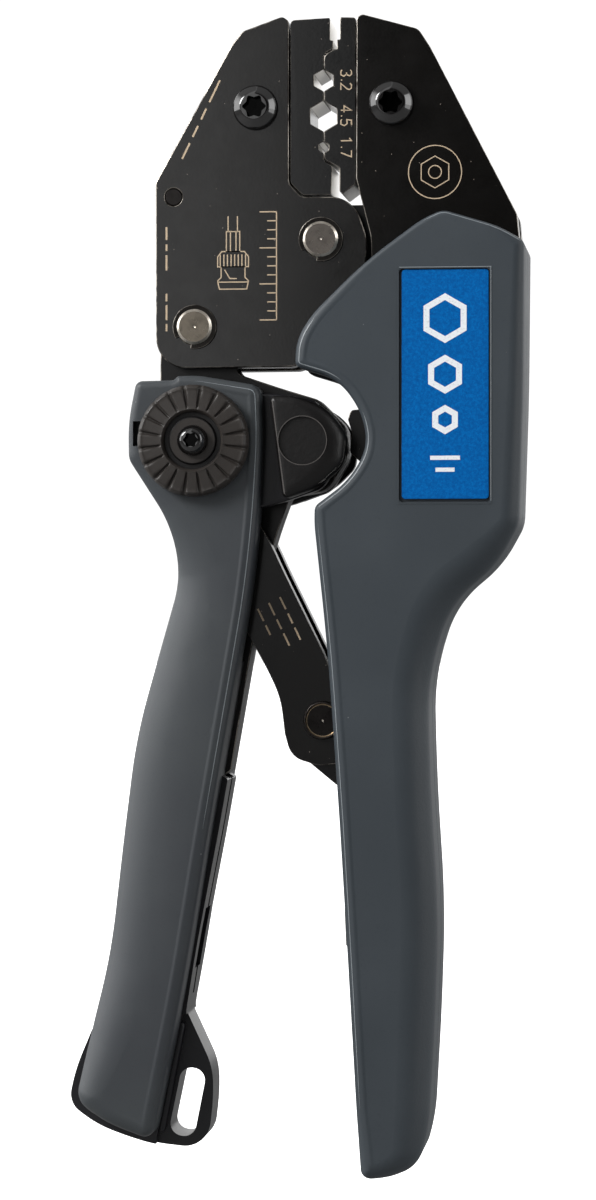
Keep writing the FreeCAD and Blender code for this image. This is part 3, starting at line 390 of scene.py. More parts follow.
# ---------------------------------------------------------------- outline sampling
def sampled(corners, rims, step=1.2, arc_step=0.5):
    """Points round an outline of (x, z[, radius]) corners, each with its rim values."""
    count = len(corners)
    points = [np.array(c[:2], float) for c in corners]
    radii = [c[2] if len(c) > 2 else 0.0 for c in corners]
    found = []
    for i, point in enumerate(points):
        back = points[i - 1] - point
        ahead = points[(i + 1) % count] - point
        to_back = back / np.linalg.norm(back)
        to_ahead = ahead / np.linalg.norm(ahead)
        cosine = float(np.clip(np.dot(to_back, to_ahead), -1, 1))
        turn = math.pi - math.acos(cosine)
        if radii[i] < 1e-6 or turn < 1e-4:
            found.append((i, point, point, None))
            continue
        shortest = min(np.linalg.norm(back), np.linalg.norm(ahead))
        reach = min(radii[i] * math.tan(turn / 2), 0.499 * shortest)
        radius = reach / math.tan(turn / 2)
        start = point + to_back * reach
        end = point + to_ahead * reach
        bisector = to_back + to_ahead
        bisector /= np.linalg.norm(bisector)
        centre = point + bisector * (radius / math.cos(turn / 2))
        found.append((i, start, end, (centre, radius, turn)))
    loop = []
    for k, (i, start, end, arc) in enumerate(found):
        if arc is None:
            loop.append((start, i, 0.0))
        else:
            centre, radius, turn = arc
            pieces = max(2, int(math.ceil(radius * turn / arc_step)), int(math.ceil(turn / 0.2)))
            pieces = min(pieces, 60)
            first = start - centre
            angle0 = math.atan2(first[1], first[0])
            last = end - centre
            swing = math.atan2(last[1], last[0]) - angle0
            swing = (swing + math.pi) % (2 * math.pi) - math.pi
            for s in range(pieces + 1):
                angle = angle0 + swing * s / pieces
                spot = centre + radius * np.array([math.cos(angle), math.sin(angle)])
                loop.append((spot, i, 0.0))
        following = found[(k + 1) % count][1]
        gap = np.linalg.norm(following - end)
        pieces = int(gap // step)
        for s in range(1, pieces + 1):
            share = s / (pieces + 1)
            loop.append((end + (following - end) * share, i, share))
    clean = [loop[0]]
    for entry in loop[1:]:
        if np.linalg.norm(entry[0] - clean[-1][0]) > 0.02:
            clean.append(entry)
    if np.linalg.norm(clean[0][0] - clean[-1][0]) < 0.02:
        clean.pop()
    spots = np.array([entry[0] for entry in clean])
    # Each sample takes its rim from the corners on either side, by distance along the outline.
    lengths = np.linalg.norm(np.roll(spots, -1, 0) - spots, axis=1)
    along = np.concatenate([[0], np.cumsum(lengths)])
    total = along[-1]
    keys = []
    for i, point in enumerate(points):
        nearest = int(np.argmin(np.linalg.norm(spots - point, axis=1)))
        keys.append((along[nearest], rims[i]))
    keys.sort(key=lambda k: k[0])
    places = np.array([k[0] for k in keys])
    columns = [
        np.interp(along[:-1], places, [k[1][column] for k in keys], period=total)
        for column in range(len(rims[0]))
    ]
    return spots, columns


def signed_area(spots):
    x, z = spots[:, 0], spots[:, 1]
    return 0.5 * float(np.sum(x * np.roll(z, -1) - np.roll(x, -1) * z))


def inward_normals(spots):
    tangent = np.roll(spots, -1, 0) - np.roll(spots, 1, 0)
    tangent /= np.linalg.norm(tangent, axis=1)[:, None]
    normal = np.stack([-tangent[:, 1], tangent[:, 0]], axis=1)
    return normal if signed_area(spots) > 0 else -normal


def mesh_object(name, verts, faces, material, smooth_angle=None):
    """Closed mesh from drawing coordinates (x, y, z) in millimetres."""
    mesh = bpy.data.meshes.new(name)
    mesh.from_pydata([at(x, z, y) for x, y, z in verts], [], faces)
    mesh.validate()
    bm = bmesh.new()
    bm.from_mesh(mesh)
    bmesh.ops.recalc_face_normals(bm, faces=bm.faces)
    bm.to_mesh(mesh)
    bm.free()
    mesh.materials.append(material)
    made = bpy.data.objects.new(name, mesh)
    bpy.context.scene.collection.objects.link(made)
    if smooth_angle is not None:
        mesh.polygons.foreach_set("use_smooth", [True] * len(mesh.polygons))
        mesh.set_sharp_from_angle(angle=math.radians(smooth_angle))
    return made


RIM_RINGS = [1 - math.cos(math.radians(a)) for a in (11, 22, 33, 44, 55, 66, 78, 90)]
RIDGE_RINGS = (0.17, 0.33, 0.5, 0.67, 0.85, 1.0)
RIDGE_WIDTH = 0.9


def puff(name, corners, rims, top, bottom, material, grid=3.0, inset=0.06, groove=0.0):
    """Solid with a rounded rim whose width, drop and inner ridge vary round the outline.

    The crown is at y = -top.  `bottom` is the height of the other face on the same scale:
    -top gives a solid that is the same front and back.  `groove` pulls the outline in at
    mid-plane, to leave a fine parting line."""
    spots, (widths, drops, ridges) = sampled(corners, rims)
    normals = inward_normals(spots)
    spots = spots + normals * inset
    count = len(spots)
    offsets = [widths * ring for ring in RIM_RINGS]
    if ridges.max() > 0:
        offsets += [widths + RIDGE_WIDTH * share for share in RIDGE_RINGS]
    extra = []
    for offset in offsets:
        moved = spots + normals * offset[:, None]
        for j, spot in enumerate(moved):
            gap = np.linalg.norm(spots - spot, axis=1)
            if gap.min() > 0.93 * offset[j] and gap.min() > 0.06:
                extra.append(spot)
    low = spots.min(0)
    high = spots.max(0)
    for x in np.arange(low[0], high[0], grid):
        for z in np.arange(low[1], high[1], grid):
            spot = np.array([x + 0.013 * z, z])
            gap = np.linalg.norm(spots - spot, axis=1)
            if gap.min() > 1.1 * widths[int(np.argmin(gap))] + RIDGE_WIDTH:
                extra.append(spot)
    kept = []
    cells = {}
    for spot in extra:
        key = (int(spot[0] // 0.25), int(spot[1] // 0.25))
        near = [
            other
            for dx in (-1, 0, 1)
            for dz in (-1, 0, 1)
            for other in cells.get((key[0] + dx, key[1] + dz), ())
        ]
        if all(np.linalg.norm(other - spot) > 0.12 for other in near):
            kept.append(spot)
            cells.setdefault(key, []).append(spot)
    flat = [Vector(s) for s in spots] + [Vector(s) for s in kept]
    edges = [(k, (k + 1) % count) for k in range(count)]
    verts2, _, faces2, origin, _, _ = delaunay_2d_cdt(flat, edges, [], 1, 1e-7)
    outline_of = {}
    for number, sources in enumerate(origin):
        for source in sources:
            if source < count:
                outline_of[source] = number
    places = np.array([[v.x, v.y] for v in verts2])
    depth = np.zeros(len(places))
    for j in range(count):
        gap = np.linalg.norm(places - spots[j], axis=1)
        share = np.clip(1 - gap / widths[j], 0, 1)
        fall = drops[j] * (1 - np.sqrt(np.clip(1 - share * share, 0, 1)))
        depth = np.maximum(depth, fall)
    for number, place in enumerate(places):
        gap = np.linalg.norm(spots - place, axis=1)
        j = int(np.argmin(gap))
        share = np.clip((gap[j] - 0.85 * widths[j]) / RIDGE_WIDTH, 0, 1)
        depth[number] -= ridges[j] * math.sin(math.pi * share)
    total = len(places)
    verts = [(p[0], -(top - d), p[1]) for p, d in zip(places, depth)]
    faces = [tuple(f) for f in faces2]
    ring_ids = [outline_of[k] for k in range(count)]
    if bottom < 0:
        verts += [(p[0], top - d, p[1]) for p, d in zip(places, depth)]
    else:
        verts += [(p[0], -bottom, p[1]) for p in places]
    faces += [tuple(i + total for i in reversed(f)) for f in faces2]
    columns = []
    for k in range(count):
        front = ring_ids[k]
        rows = [front]
        if groove > 0:
            base = places[front]
            for y, pull in ((-groove, 0.0), (0.0, groove), (groove, 0.0)):
                spot = base + normals[k] * pull
                rows.append(len(verts))
                verts.append((spot[0], y, spot[1]))
        rows.append(front + total)
        columns.append(rows)
    for k in range(count):
        left = columns[k]
        right = columns[(k + 1) % count]
        for row in range(len(left) - 1):
            faces.append((left[row], right[row], right[row + 1], left[row + 1]))
    return mesh_object(name, verts, faces, material, 38)


def solid_copy(node):
    """Welded copy of a CAD node's mesh, to cut with."""
    mesh = nodes[node].data.copy()
    bm = bmesh.new()
    bm.from_mesh(mesh)
    bmesh.ops.remove_doubles(bm, verts=bm.verts, dist=2e-6)
    bmesh.ops.dissolve_limit(
        bm, angle_limit=math.radians(0.5), verts=bm.verts, edges=bm.edges, use_dissolve_boundaries=False
    )
    bm.to_mesh(mesh)
    bm.free()
    made = bpy.data.objects.new(f"cut_{node}", mesh)
    bpy.context.scene.collection.objects.link(made)
    return made


def intersect(blank, node, name, material):
    """What the blank and a CAD node have in common, as a new piece."""
    cutter = solid_copy(node)
    body = blank.copy()
    body.data = blank.data.copy()
    body.name = name
    bpy.context.scene.collection.objects.link(body)
    cut = body.modifiers.new("cut", "BOOLEAN")
    cut.operation = "INTERSECT"
    cut.solver = "EXACT"
    cut.object = cutter
    bpy.context.view_layer.update()
    graph = bpy.context.evaluated_depsgraph_get()
    result = bpy.data.meshes.new_from_object(body.evaluated_get(graph))
    body.modifiers.clear()
    body.data = result
    result.name = name
    result.materials.clear()
    result.materials.append(material)
    result.polygons.foreach_set("material_index", [0] * len(result.polygons))
    if "custom_normal" in result.attributes:
        result.attributes.remove(result.attributes["custom_normal"])
    result.polygons.foreach_set("use_smooth", [True] * len(result.polygons))
    result.set_sharp_from_angle(angle=math.radians(34))
    bpy.data.objects.remove(cutter)
    return body


def settle(piece, body, node):
    """Let a new piece ride on its body in place of a CAD node."""
    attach(piece, body)
    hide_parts(node)


# ---------------------------------------------------------------- grips
# Each corner has a rim: its width, its drop and the height of the fine ridge inside it.
NOSE = (1.2, 1.1, 0.09)
SCOOP = (0.95, 0.85, 0.09)
BROW = (0.8, 0.7, 0.0)
INNER = (1.2, 1.1, 0.09)
PALM = (5.8, 5.0, 0.0)
FIXED_GRIP = [
    ((-3.95, -21.9, 1.3), NOSE),
    ((-3.7, -17.4, SOFT), NOSE),
    ((-1.2, -13.2, SOFT), (1.1, 1.0, 0.06)),
    ((8.1, -4.1, SOFT), BROW),
    ((17.6, 2.8, SOFT), BROW),
    ((21.1, 4.3, 3.2), BROW),
    ((30.4, 1.5, SOFT), BROW),
    ((34.8, -1.0, 1.6), (1.8, 1.6, 0.0)),
    ((34.6, -26.0, SOFT), (2.6, 2.4, 0.0)),
    ((33.9, -48.4, 7.0), (3.0, 2.8, 0.0)),
    ((30.2, -55.2, SOFT), (5.0, 4.0, 0.0)),
    ((22.2, -62.0, SOFT), (6.0, 4.6, 0.0)),
    ((18.4, -74.4, SOFT), PALM),
    ((18.8, -92.0, SOFT), PALM),
    ((20.2, -114.0, SOFT), PALM),
    ((19.6, -132.0, SOFT), PALM),
    ((18.6, -150.0, SOFT), (5.4, 4.8, 0.0)),
    ((16.8, -156.8, SOFT), (4.4, 4.0, 0.0)),
    ((11.6, -158.8, SOFT), (3.2, 3.0, 0.0)),
    ((7.2, -158.9, 1.8), (2.0, 1.8, 0.05)),
    ((6.4, -146.6, SOFT), INNER),
    ((5.0, -122.0, SOFT), INNER),
    ((3.6, -98.8, SOFT), INNER),
    ((1.6, -70.0, SOFT), INNER),
    ((-0.7, -48.4, SOFT), INNER),
    ((-0.6, -45.4, 1.8), SCOOP),
    ((5.3, -41.0, SOFT), SCOOP),
    ((8.4, -35.4, SOFT), SCOOP),
    ((7.4, -29.8, SOFT), SCOOP),
    ((3.6, -24.2, SOFT), SCOOP),
]
KEEL = (1.6, 1.5, 0.12)
MOVING_GRIP = [
    ((-31.0, -24.1, 1.4), (1.3, 1.1, 0.0)),
    ((-24.6, -24.0), (1.2, 1.0, 0.0)),
    ((-23.8, -23.3, 0.5), (1.2, 1.0, 0.0)),
    ((-20.5, -23.2, SOFT), (1.3, 1.1, 0.0)),
    ((-9.7, -25.0, 2.2), (1.5, 1.4, 0.1)),
    ((-9.3, -33.0, SOFT), KEEL),
    ((-10.0, -46.0, SOFT), KEEL),
    ((-11.5, -60.0, SOFT), KEEL),
    ((-14.5, -77.2, SOFT), KEEL),
    ((-18.5, -100.0, SOFT), KEEL),
    ((-22.9, -126.6, SOFT), KEEL),
    ((-28.2, -152.9, 2.0), (1.7, 1.6, 0.06)),
    ((-36.6, -150.1, SOFT), (2.8, 2.6, 0.0)),
    ((-41.8, -146.4, 3.6), (4.0, 3.6, 0.0)),
    ((-39.6, -135.6, SOFT), (7.0, 5.6, 0.0)),
    ((-36.2, -121.6, SOFT), (9.5, 6.2, 0.0)),
    ((-34.0, -102.0, SOFT), (10.5, 6.4, 0.0)),
    ((-31.8, -84.5, SOFT), (10.5, 6.4, 0.0)),
    ((-28.0, -71.0, SOFT), (9.5, 6.2, 0.0)),
    ((-24.0, -57.4, SOFT), (8.0, 5.4, 0.0)),
    ((-25.4, -48.6, SOFT), (4.5, 3.6, 0.0)),
    ((-32.4, -37.4, 3.5), (1.9, 1.7, 0.0)),
    ((-32.4, -31.0, SOFT), (1.4, 1.2, 0.0)),
]
CAP = [
    ((-8.2, -26.8, 1.0), (1.1, 0.9, 0.0)),
    ((-3.6, -26.8, SOFT), (1.4, 1.2, 0.0)),
    ((1.9, -29.0, SOFT), (3.0, 2.0, 0.0)),
    ((4.9, -33.6, 3.0), (4.0, 2.6, 0.0)),
    ((4.4, -38.2, 3.4), (4.0, 2.6, 0.0)),
    ((0.4, -42.2, SOFT), (3.0, 2.0, 0.0)),
    ((-5.9, -44.4, 1.0), (1.1, 0.9, 0.0)),
]


def split_pairs(pairs):
    return [p[0] for p in pairs], [p[1] for p in pairs]


for grip, pairs, body, finish, slot in (
    ("fixed_grip", FIXED_GRIP, "frame", slate, "fixed_grip_plastic"),
    ("moving_grip", MOVING_GRIP, "handle", slate_moving, "moving_grip_plastic"),
):
    corners, rims = split_pairs(pairs)
    blank = puff(f"blank_{grip}", corners, rims, GRIP_FACE, -GRIP_FACE, finish, groove=0.2)
    for side in ("front", "back"):
        piece = intersect(blank, f"{grip}_{side}", f"shell_{grip}_{side}", finish)
        settle(piece, body, f"{grip}_{side}")
    bpy.data.objects.remove(blank)

cap_corners, cap_rims = split_pairs(CAP)
for side, sign in (("front", 1), ("back", -1)):
    blank = puff(
        f"blank_cap_{side}", cap_corners, cap_rims, CAP_FACE, CAP_FLOOR, cap_finish, grid=1.5, inset=0.03
    )
    if sign < 0:
        for vertex in blank.data.vertices:
            vertex.co.y = -vertex.co.y
        blank.data.flip_normals()
    piece = intersect(blank, f"release_cap_{side}", f"thumb_cap_{side}", cap_finish)
    settle(piece, "pawl", f"release_cap_{side}")
    bpy.data.objects.remove(blank)

# ---------------------------------------------------------------- adjusting wheel
WHEEL_X, WHEEL_Z = ADJUSTER
NOTCHES = 20
PER_NOTCH = 16
NOTCH_DEPTH = 0.42


def wheel_height(radius, share):
    """Front surface of the wheel; `share` runs 0 to 1 across one notch pitch."""
    profile = [
        (2.6, 15.25),
        (3.8, 15.25),
        (3.95, 15.15),
        (4.1, 14.75),
        (4.75, 14.75),
        (4.95, 15.6),
        (5.25, 15.95),
        (5.6, 15.9),
        (8.5, 15.72),
        (8.75, 15.76),
        (9.0, 15.6),
        (9.3, 15.05),
        (9.4, 14.8),
    ]
    height = np.interp(radius, [p[0] for p in profile], [p[1] for p in profile])
    offset = abs(share - 0.5) * 2 * math.pi / NOTCHES * radius
    half = 0.14 + 0.2 * np.clip((radius - 5.4) / 3.2, 0, 1)
    fade = np.clip((radius - 5.35) / 0.4, 0, 1)
    dip = NOTCH_DEPTH * fade * np.clip(1.3 - offset / half, 0, 1)
    return height - min(dip, NOTCH_DEPTH)


def build_wheel():
    radii = [2.6, 3.2, 3.8, 3.95, 4.1, 4.45, 4.75, 4.95, 5.1, 5.25, 5.4, 5.65, 5.9, 6.3, 6.8]
    radii += [7.3, 7.8, 8.2, 8.5, 8.75, 8.85, 9.0, 9.15, 9.3, 9.4]
    count = NOTCHES * PER_NOTCH
    spread = [0.0, 0.12, 0.22, 0.3, 0.36, 0.41, 0.45, 0.475, 0.5]
    spread += [1 - s for s in reversed(spread[1:-1])]
    verts = []
    for k in range(count):
        share = spread[k % PER_NOTCH]
        angle = (k // PER_NOTCH + share) * 2 * math.pi / NOTCHES
        for radius in radii:
            height = wheel_height(radius, share)
            verts.append(
                (WHEEL_X + radius * math.cos(angle), -height, WHEEL_Z + radius * math.sin(angle))
            )
        for radius, y in ((9.4, 14.0), (9.4, 13.3), (9.2, 13.05), (2.6, 13.05), (2.6, 14.2)):
            verts.append((WHEEL_X + radius * math.cos(angle), -y, WHEEL_Z + radius * math.sin(angle)))
    rows = len(radii) + 5
    faces = []
    for k in range(count):
        nxt = (k + 1) % count
        for row in range(rows):
            other = (row + 1) % rows
            faces.append((k * rows + row, nxt * rows + row, nxt * rows + other, k * rows + other))
    return mesh_object("dial_wheel", verts, faces, control, 32)


settle(build_wheel(), "adjuster", "adjusting_wheel")


# ---------------------------------------------------------------- carried-over CAD nodes
def dress(node, material, bevel_mm=0.0, edge_material=None):
    """Material, and for flat parts a small real edge break, on a CAD node."""
    item = nodes[node]
    item.data.materials.clear()
    item.data.materials.append(material)
    if edge_material is not None:
        item.data.materials.append(edge_material)
    item.data.polygons.foreach_set("material_index", [0] * len(item.data.polygons))
    if bevel_mm <= 0:
        return
    if "custom_normal" in item.data.attributes:
        item.data.attributes.remove(item.data.attributes["custom_normal"])
    item.data.polygons.foreach_set("use_smooth", [True] * len(item.data.polygons))
    weld = item.modifiers.new("weld", "WELD")
    weld.merge_threshold = 2e-6
    flat = item.modifiers.new("flat", "DECIMATE")
    flat.decimate_type = "DISSOLVE"
    flat.angle_limit = math.radians(0.6)
    edge = item.modifiers.new("edge", "BEVEL")
    edge.width = bevel_mm * MM
    edge.segments = 2
    edge.limit_method = "ANGLE"
    edge.angle_limit = math.radians(32)
    edge.miter_outer = "MITER_ARC"
    edge.harden_normals = True
    edge.material = 1 if edge_material is not None else -1
    tone = item.modifiers.new("tone", "WEIGHTED_NORMAL")
    tone.keep_sharp = False
    tone.weight = 60


# The edge bevels take the light edge colour: a painted highlight on the plate, die and ring edges.
for side in ("front", "back"):
    dress(f"jaw_plate_{side}", black_plate, 0.2, edge_material=edge_highlight_paint)
    dress(f"frame_plate_{side}", black_frame, 0.2, edge_material=edge_highlight_paint)
    dress(f"frame_core_{side}", black_core, 0.18, edge_material=edge_highlight_paint)
    dress(f"handle_core_{side}", black_core, 0.18, edge_material=edge_highlight_paint)
    dress(f"link_plate_{side}", black_link, 0.18, edge_material=edge_highlight_paint)
    dress(f"ratchet_pawl_{side}", black_core, 0.12)
    dress(f"ratchet_cover_{side}", liner_black, 0.5)
dress("moving_die", black_die, 0.14, edge_material=edge_highlight_paint)
dress("fixed_die", black_die, 0.14, edge_material=edge_highlight_paint)
dress("die_screw_moving", left_screw)
dress("die_screw_fixed", right_screw)
dress("main_pivot_pin", main_pin)
dress("handle_pin", jaw_pin)
dress("link_anchor_pin", anchor_pin)
dress("main_pivot_rings", dark_ring, 0.08, edge_material=edge_highlight_paint)
dress("handle_pin_rings", dark_ring, 0.08, edge_material=edge_highlight_paint)
dress("frame_rivets", dowel)
dress("spring_anchor_pin", dowel)
dress("handle_liner", liner_black, 0.4)
dress("return_spring", spring_wire)
dress("adjuster_pin", dowel)
dress("wheel_screw", wheel_screw_black)
dress("pawl_shaft", dowel)
dress("label_plate", film, 0.1)


def rib(name, start, end, y, radius, material, body):
    """Round bar with ball ends between two drawing points, half sunk in the part below it."""
    a = np.array([start[0], y, start[1]])
    b = np.array([end[0], y, end[1]])
    run = (b - a) / np.linalg.norm(b - a)
    depthwards = np.array([0.0, 1.0, 0.0])
    sideways = np.cross(run, depthwards)
    around = 20
    stations = [(a, -math.cos(math.radians(t)), math.sin(math.radians(t))) for t in (12, 35, 60, 90)]
    stations += [(b, math.cos(math.radians(t)), math.sin(math.radians(t))) for t in (90, 60, 35, 12)]
    verts = []
    for spot, along, out in stations:
        for k in range(around):
            turn = 2 * math.pi * k / around
            ring = depthwards * math.cos(turn) + sideways * math.sin(turn)
            verts.append(tuple(spot + run * along * radius + ring * out * radius))
    faces = []
    for row in range(len(stations) - 1):
        for k in range(around):
            n = (k + 1) % around
            low = row * around
            faces.append((low + k, low + n, low + around + n, low + around + k))
    faces.append(tuple(range(around)))
    faces.append(tuple(reversed(range((len(stations) - 1) * around, len(stations) * around))))
    made = mesh_object(name, verts, faces, material, 50)
    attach(made, body)
    return made


for side, y in (("front", -4.3), ("back", 4.3)):
    rib(f"eye_rib_{side}", (-24.4, -134.2), (-27.8, -151.6), y, 0.9, liner_black, "handle")


def rim_highlight_line(name, pairs, first, last, gap, width, top, body, material):
    """Fine light line painted on a rounded rim, a painted highlight, from corner `first` to corner
    `last` of its outline.
    """
    corners, rims = split_pairs(pairs)
    spots, (widths, drops, _) = sampled(corners, rims)
    normals = inward_normals(spots)
    ends = []
    for number in (first, last):
        target = np.array(corners[number][:2])
        ends.append(int(np.argmin(np.linalg.norm(spots - target, axis=1))))
    start, stop = ends
    if stop <= start:
        stop += len(spots)
    verts = []
    faces = []
    for k in range(start, stop + 1):
        j = k % len(spots)
        # The line thins out towards both ends.
        share = (k - start) / (stop - start)
        half = width / 2 * min(1.0, 8 * share + 0.15, 8 * (1 - share) + 0.15)
        for offset in (gap - half, gap + half):
            inside = max(0.0, 1 - (offset - 0.06) / widths[j])
            fall = drops[j] * (1 - math.sqrt(max(0.0, 1 - inside * inside)))
            spot = spots[j] + normals[j] * offset
            verts.append((spot[0], -(top - fall) - 0.03, spot[1]))
            verts.append((spot[0], -(top - fall) + 0.08, spot[1]))
    for step in range(stop - start):
        a = 4 * step
        b = a + 4
        for p, q in ((0, 2), (2, 3), (3, 1), (1, 0)):
            faces.append((a + p, b + p, b + q, a + q))
    last_ring = 4 * (stop - start)
    faces.append((0, 2, 3, 1))
    faces.append((last_ring, last_ring + 1, last_ring + 3, last_ring + 2))
    made = mesh_object(name, verts, faces, material)
    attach(made, body)
    return made


# Corner numbers in FIXED_GRIP: 0 is the tip of the nose, 20 to 24 the inner side, 25 to 29 the
# scoop; in MOVING_GRIP 3 to 9 is the right side; in CAP 3 to 5 is the lower right.
# Painted highlights: light lines along the grip rims.
for name, first, last, gap, width in (
    ("highlight_nose", 29, 2, 0.75, 0.16),
    ("highlight_scoop", 25, 28, 0.6, 0.14),
    ("highlight_inner", 20, 24, 0.75, 0.12),
    ("highlight_brow", 4, 7, 0.4, 0.12),
):
    rim_highlight_line(
        name, FIXED_GRIP, first, last, gap, width, GRIP_FACE, "frame", slate_highlight
    )
rim_highlight_line("highlight_keel", MOVING_GRIP, 3, 9, 1.0, 0.14, GRIP_FACE, "handle", slate_highlight)
# Painted highlights: light lines along the cap's lower right and left edges.
rim_highlight_line("highlight_cap_edge", CAP, 3, 5, 0.3, 0.16, CAP_FACE, "pawl", cap_highlight)
rim_highlight_line("highlight_cap_side", CAP, 6, 0, 0.5, 0.2, CAP_FACE, "pawl", cap_soft_highlight)


# ---------------------------------------------------------------- etched marks and label print
def ribbon(points, width, closed=False):
    """Outline pairs (left, right) of a stroke of even width with mitred corners."""
    spots = [np.array(p, float) for p in points]
    count = len(spots)
    left, right = [], []
    for i, spot in enumerate(spots):
        before = spots[i - 1] if closed or i > 0 else None
        after = spots[(i + 1) % count] if closed or i < count - 1 else None
        sides = []
        for a, b in ((before, spot), (spot, after)):
            if a is None or b is None:
                continue
            run = b - a
            run /= np.linalg.norm(run)
            sides.append(np.array([-run[1], run[0]]))
        normal = sum(sides) / len(sides)
        length = np.linalg.norm(normal)
        normal = normal / length
        reach = width / 2 / max(length, 0.5)
        left.append(spot + normal * reach)
        right.append(spot - normal * reach)
    return left, right


def strokes(name, lines, width, y_face, material, body, proud=0.02, sunk=0.04):
    """Thin raised strokes on a front face; a line is a list of points, or (points, True)."""
    verts, faces = [], []
    for line in lines:
        points, closed = line if isinstance(line, tuple) else (line, False)
        left, right = ribbon(points, width, closed)
        count = len(left)
        base = len(verts)
        for y in (y_face - proud, y_face + sunk):
            for a, b in zip(left, right):
                verts.append((a[0], y, a[1]))
                verts.append((b[0], y, b[1]))
        lower = base + 2 * count
        spans = count if closed else count - 1
        for i in range(spans):
            n = (i + 1) % count
            a, b = base + 2 * i, base + 2 * i + 1
            c, d = base + 2 * n + 1, base + 2 * n
            faces.append((a, b, c, d))
            faces.append((a - base + lower, d - base + lower, c - base + lower, b - base + lower))
            faces.append((a, d, d - base + lower, a - base + lower))
            faces.append((b, b - base + lower, c - base + lower, c))
        if not closed:
            for i in (0, count - 1):
                a, b = base + 2 * i, base + 2 * i + 1
                faces.append((a, b, b - base + lower, a - base + lower))
    made = mesh_object(name, verts, faces, material)
    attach(made, body)
    return made


def regular(x, z, radius, count, first=0.0):
    """Corners of a regular polygon; with many corners it is a circle."""
    turns = [math.radians(first + 360 * k / count) for k in range(count)]
    return [(x + radius * math.cos(turn), z + radius * math.sin(turn)) for turn in turns]


DIGITS = {
    "1": [[(0.1, 0.8), (0.35, 1.0), (0.35, 0.0)]],
    "2": [[(0, 0.85), (0.12, 1.0), (0.45, 1.0), (0.58, 0.82), (0.52, 0.6), (0, 0.0), (0.6, 0.0)]],
    "3": [[(0, 0.9), (0.15, 1.0), (0.45, 1.0), (0.58, 0.8), (0.42, 0.54), (0.25, 0.54)],
          [(0.42, 0.54), (0.6, 0.28), (0.46, 0.0), (0.13, 0.0), (0, 0.1)]],
    "4": [[(0.42, 0.0), (0.42, 1.0), (0.0, 0.3), (0.62, 0.3)]],
    "5": [[(0.55, 1.0), (0.08, 1.0), (0.03, 0.56), (0.4, 0.6), (0.6, 0.32), (0.44, 0.0), (0.1, 0.0),
           (0, 0.1)]],
    "7": [[(0, 1.0), (0.6, 1.0), (0.2, 0.0)]],
    ".": [[(0.1, 0.0), (0.1, 0.12)]],
}


def number_lines(text, x, z, height):
    """Digits that read downwards: letter tops face +x, from drawing point (x, z)."""
    lines = []
    cursor = 0.0
    for letter in text:
        for line in DIGITS[letter]:
            lines.append([(x + v * height, z - (cursor + u) * height) for u, v in line])
        cursor += 0.42 if letter == "." else 0.86
    return lines


PLATE_Y = -7.0
DIE_Y = -6.5
LINK_Y = -6.0
size_lines = []
for text, z in (("3.2", 28.8), ("4.5", 22.7), ("1.7", 17.4)):
    size_lines += number_lines(text, 3.35, z, 1.8)
strokes("mark_nest_sizes", size_lines, 0.2, DIE_Y, etch, "frame")

EMBLEM = (19.4, 11.2)
ring_lines = [
    (regular(*EMBLEM, 4.5, 56), True),
    (regular(*EMBLEM, 2.7, 6, 90), True),
    (regular(*EMBLEM, 1.1, 24), True),
]
strokes("mark_ring", ring_lines, 0.17, PLATE_Y, etch, "frame")


def connector_lines(x, top):
    """Pictogram of a plug on a stripped cable, pointing down."""
    lines = [
        [(x - 0.9, top), (x - 0.9, top - 2.6)],
        [(x + 0.7, top), (x + 0.7, top - 2.6)],
        ([(x - 1.2, top - 2.6), (x + 1.1, top - 2.6), (x + 1.1, top - 6.0),
          (x - 1.2, top - 6.0)], True),
        [(x - 0.5, top - 2.6), (x - 0.5, top - 6.0)],
        [(x + 0.45, top - 2.6), (x + 0.45, top - 6.0)],
        ([(x - 2.0, top - 6.0), (x + 1.9, top - 6.0), (x + 2.6, top - 6.9), (x + 2.6, top - 8.6),
          (x - 2.7, top - 8.6), (x - 2.7, top - 6.9)], True),
        ([(x - 2.1, top - 8.6), (x + 2.0, top - 8.6), (x + 2.0, top - 10.4), (x + 2.6, top - 11.0),
          (x + 2.3, top - 12.4), (x - 2.4, top - 12.4), (x - 2.7, top - 11.0),
          (x - 2.1, top - 10.4)], True),
    ]
    for k in range(8):
        across = x - 2.25 + 0.62 * k
        lines.append([(across, top - 6.5), (across, top - 8.5)])
    lines.append([(x - 1.5, top - 9.1), (x - 0.6, top - 10.6), (x + 0.6, top - 10.6)])
    lines.append([(x - 2.6, top - 11.2), (x + 2.5, top - 11.2)])
    return lines


strokes("mark_pictogram", connector_lines(-15.0, 4.1), 0.19, PLATE_Y, etch, "jaw")

SCALE_X = -7.6
SCALE_TOP = 4.8
SCALE_STEP = 1.533
scale_lines = [[(SCALE_X, SCALE_TOP), (SCALE_X, -13.6)]]
for k in range(13):
    tick = 2.9 if k % 4 == 0 else 1.6
    height = SCALE_TOP - SCALE_STEP * k
    scale_lines.append([(SCALE_X, height), (SCALE_X - tick, height)])
strokes("mark_scale", scale_lines, 0.2, PLATE_Y, etch, "jaw")


def dashes(start, end, runs):
    """Broken line from start to end; runs are (from, to) shares."""
    a = np.array(start, float)
    b = np.array(end, float)
    return [[tuple(a + (b - a) * u), tuple(a + (b - a) * v)] for u, v in runs]


edge_lines = []
edge_lines += dashes((-26.5, 2.4), (-26.5, -5.0), [(0.0, 0.3), (0.4, 0.55), (0.65, 1.0)])
edge_lines += dashes((-26.5, -9.0), (-26.5, -15.4), [(0.0, 0.2), (0.3, 0.7), (0.8, 1.0)])
edge_lines += dashes((-17.3, 27.3), (-23.8, 14.0), [(0.0, 0.28), (0.36, 0.5), (0.58, 0.72), (0.8, 1.0)])
strokes("mark_jaw_edge", edge_lines, 0.32, PLATE_Y, etch, "jaw")

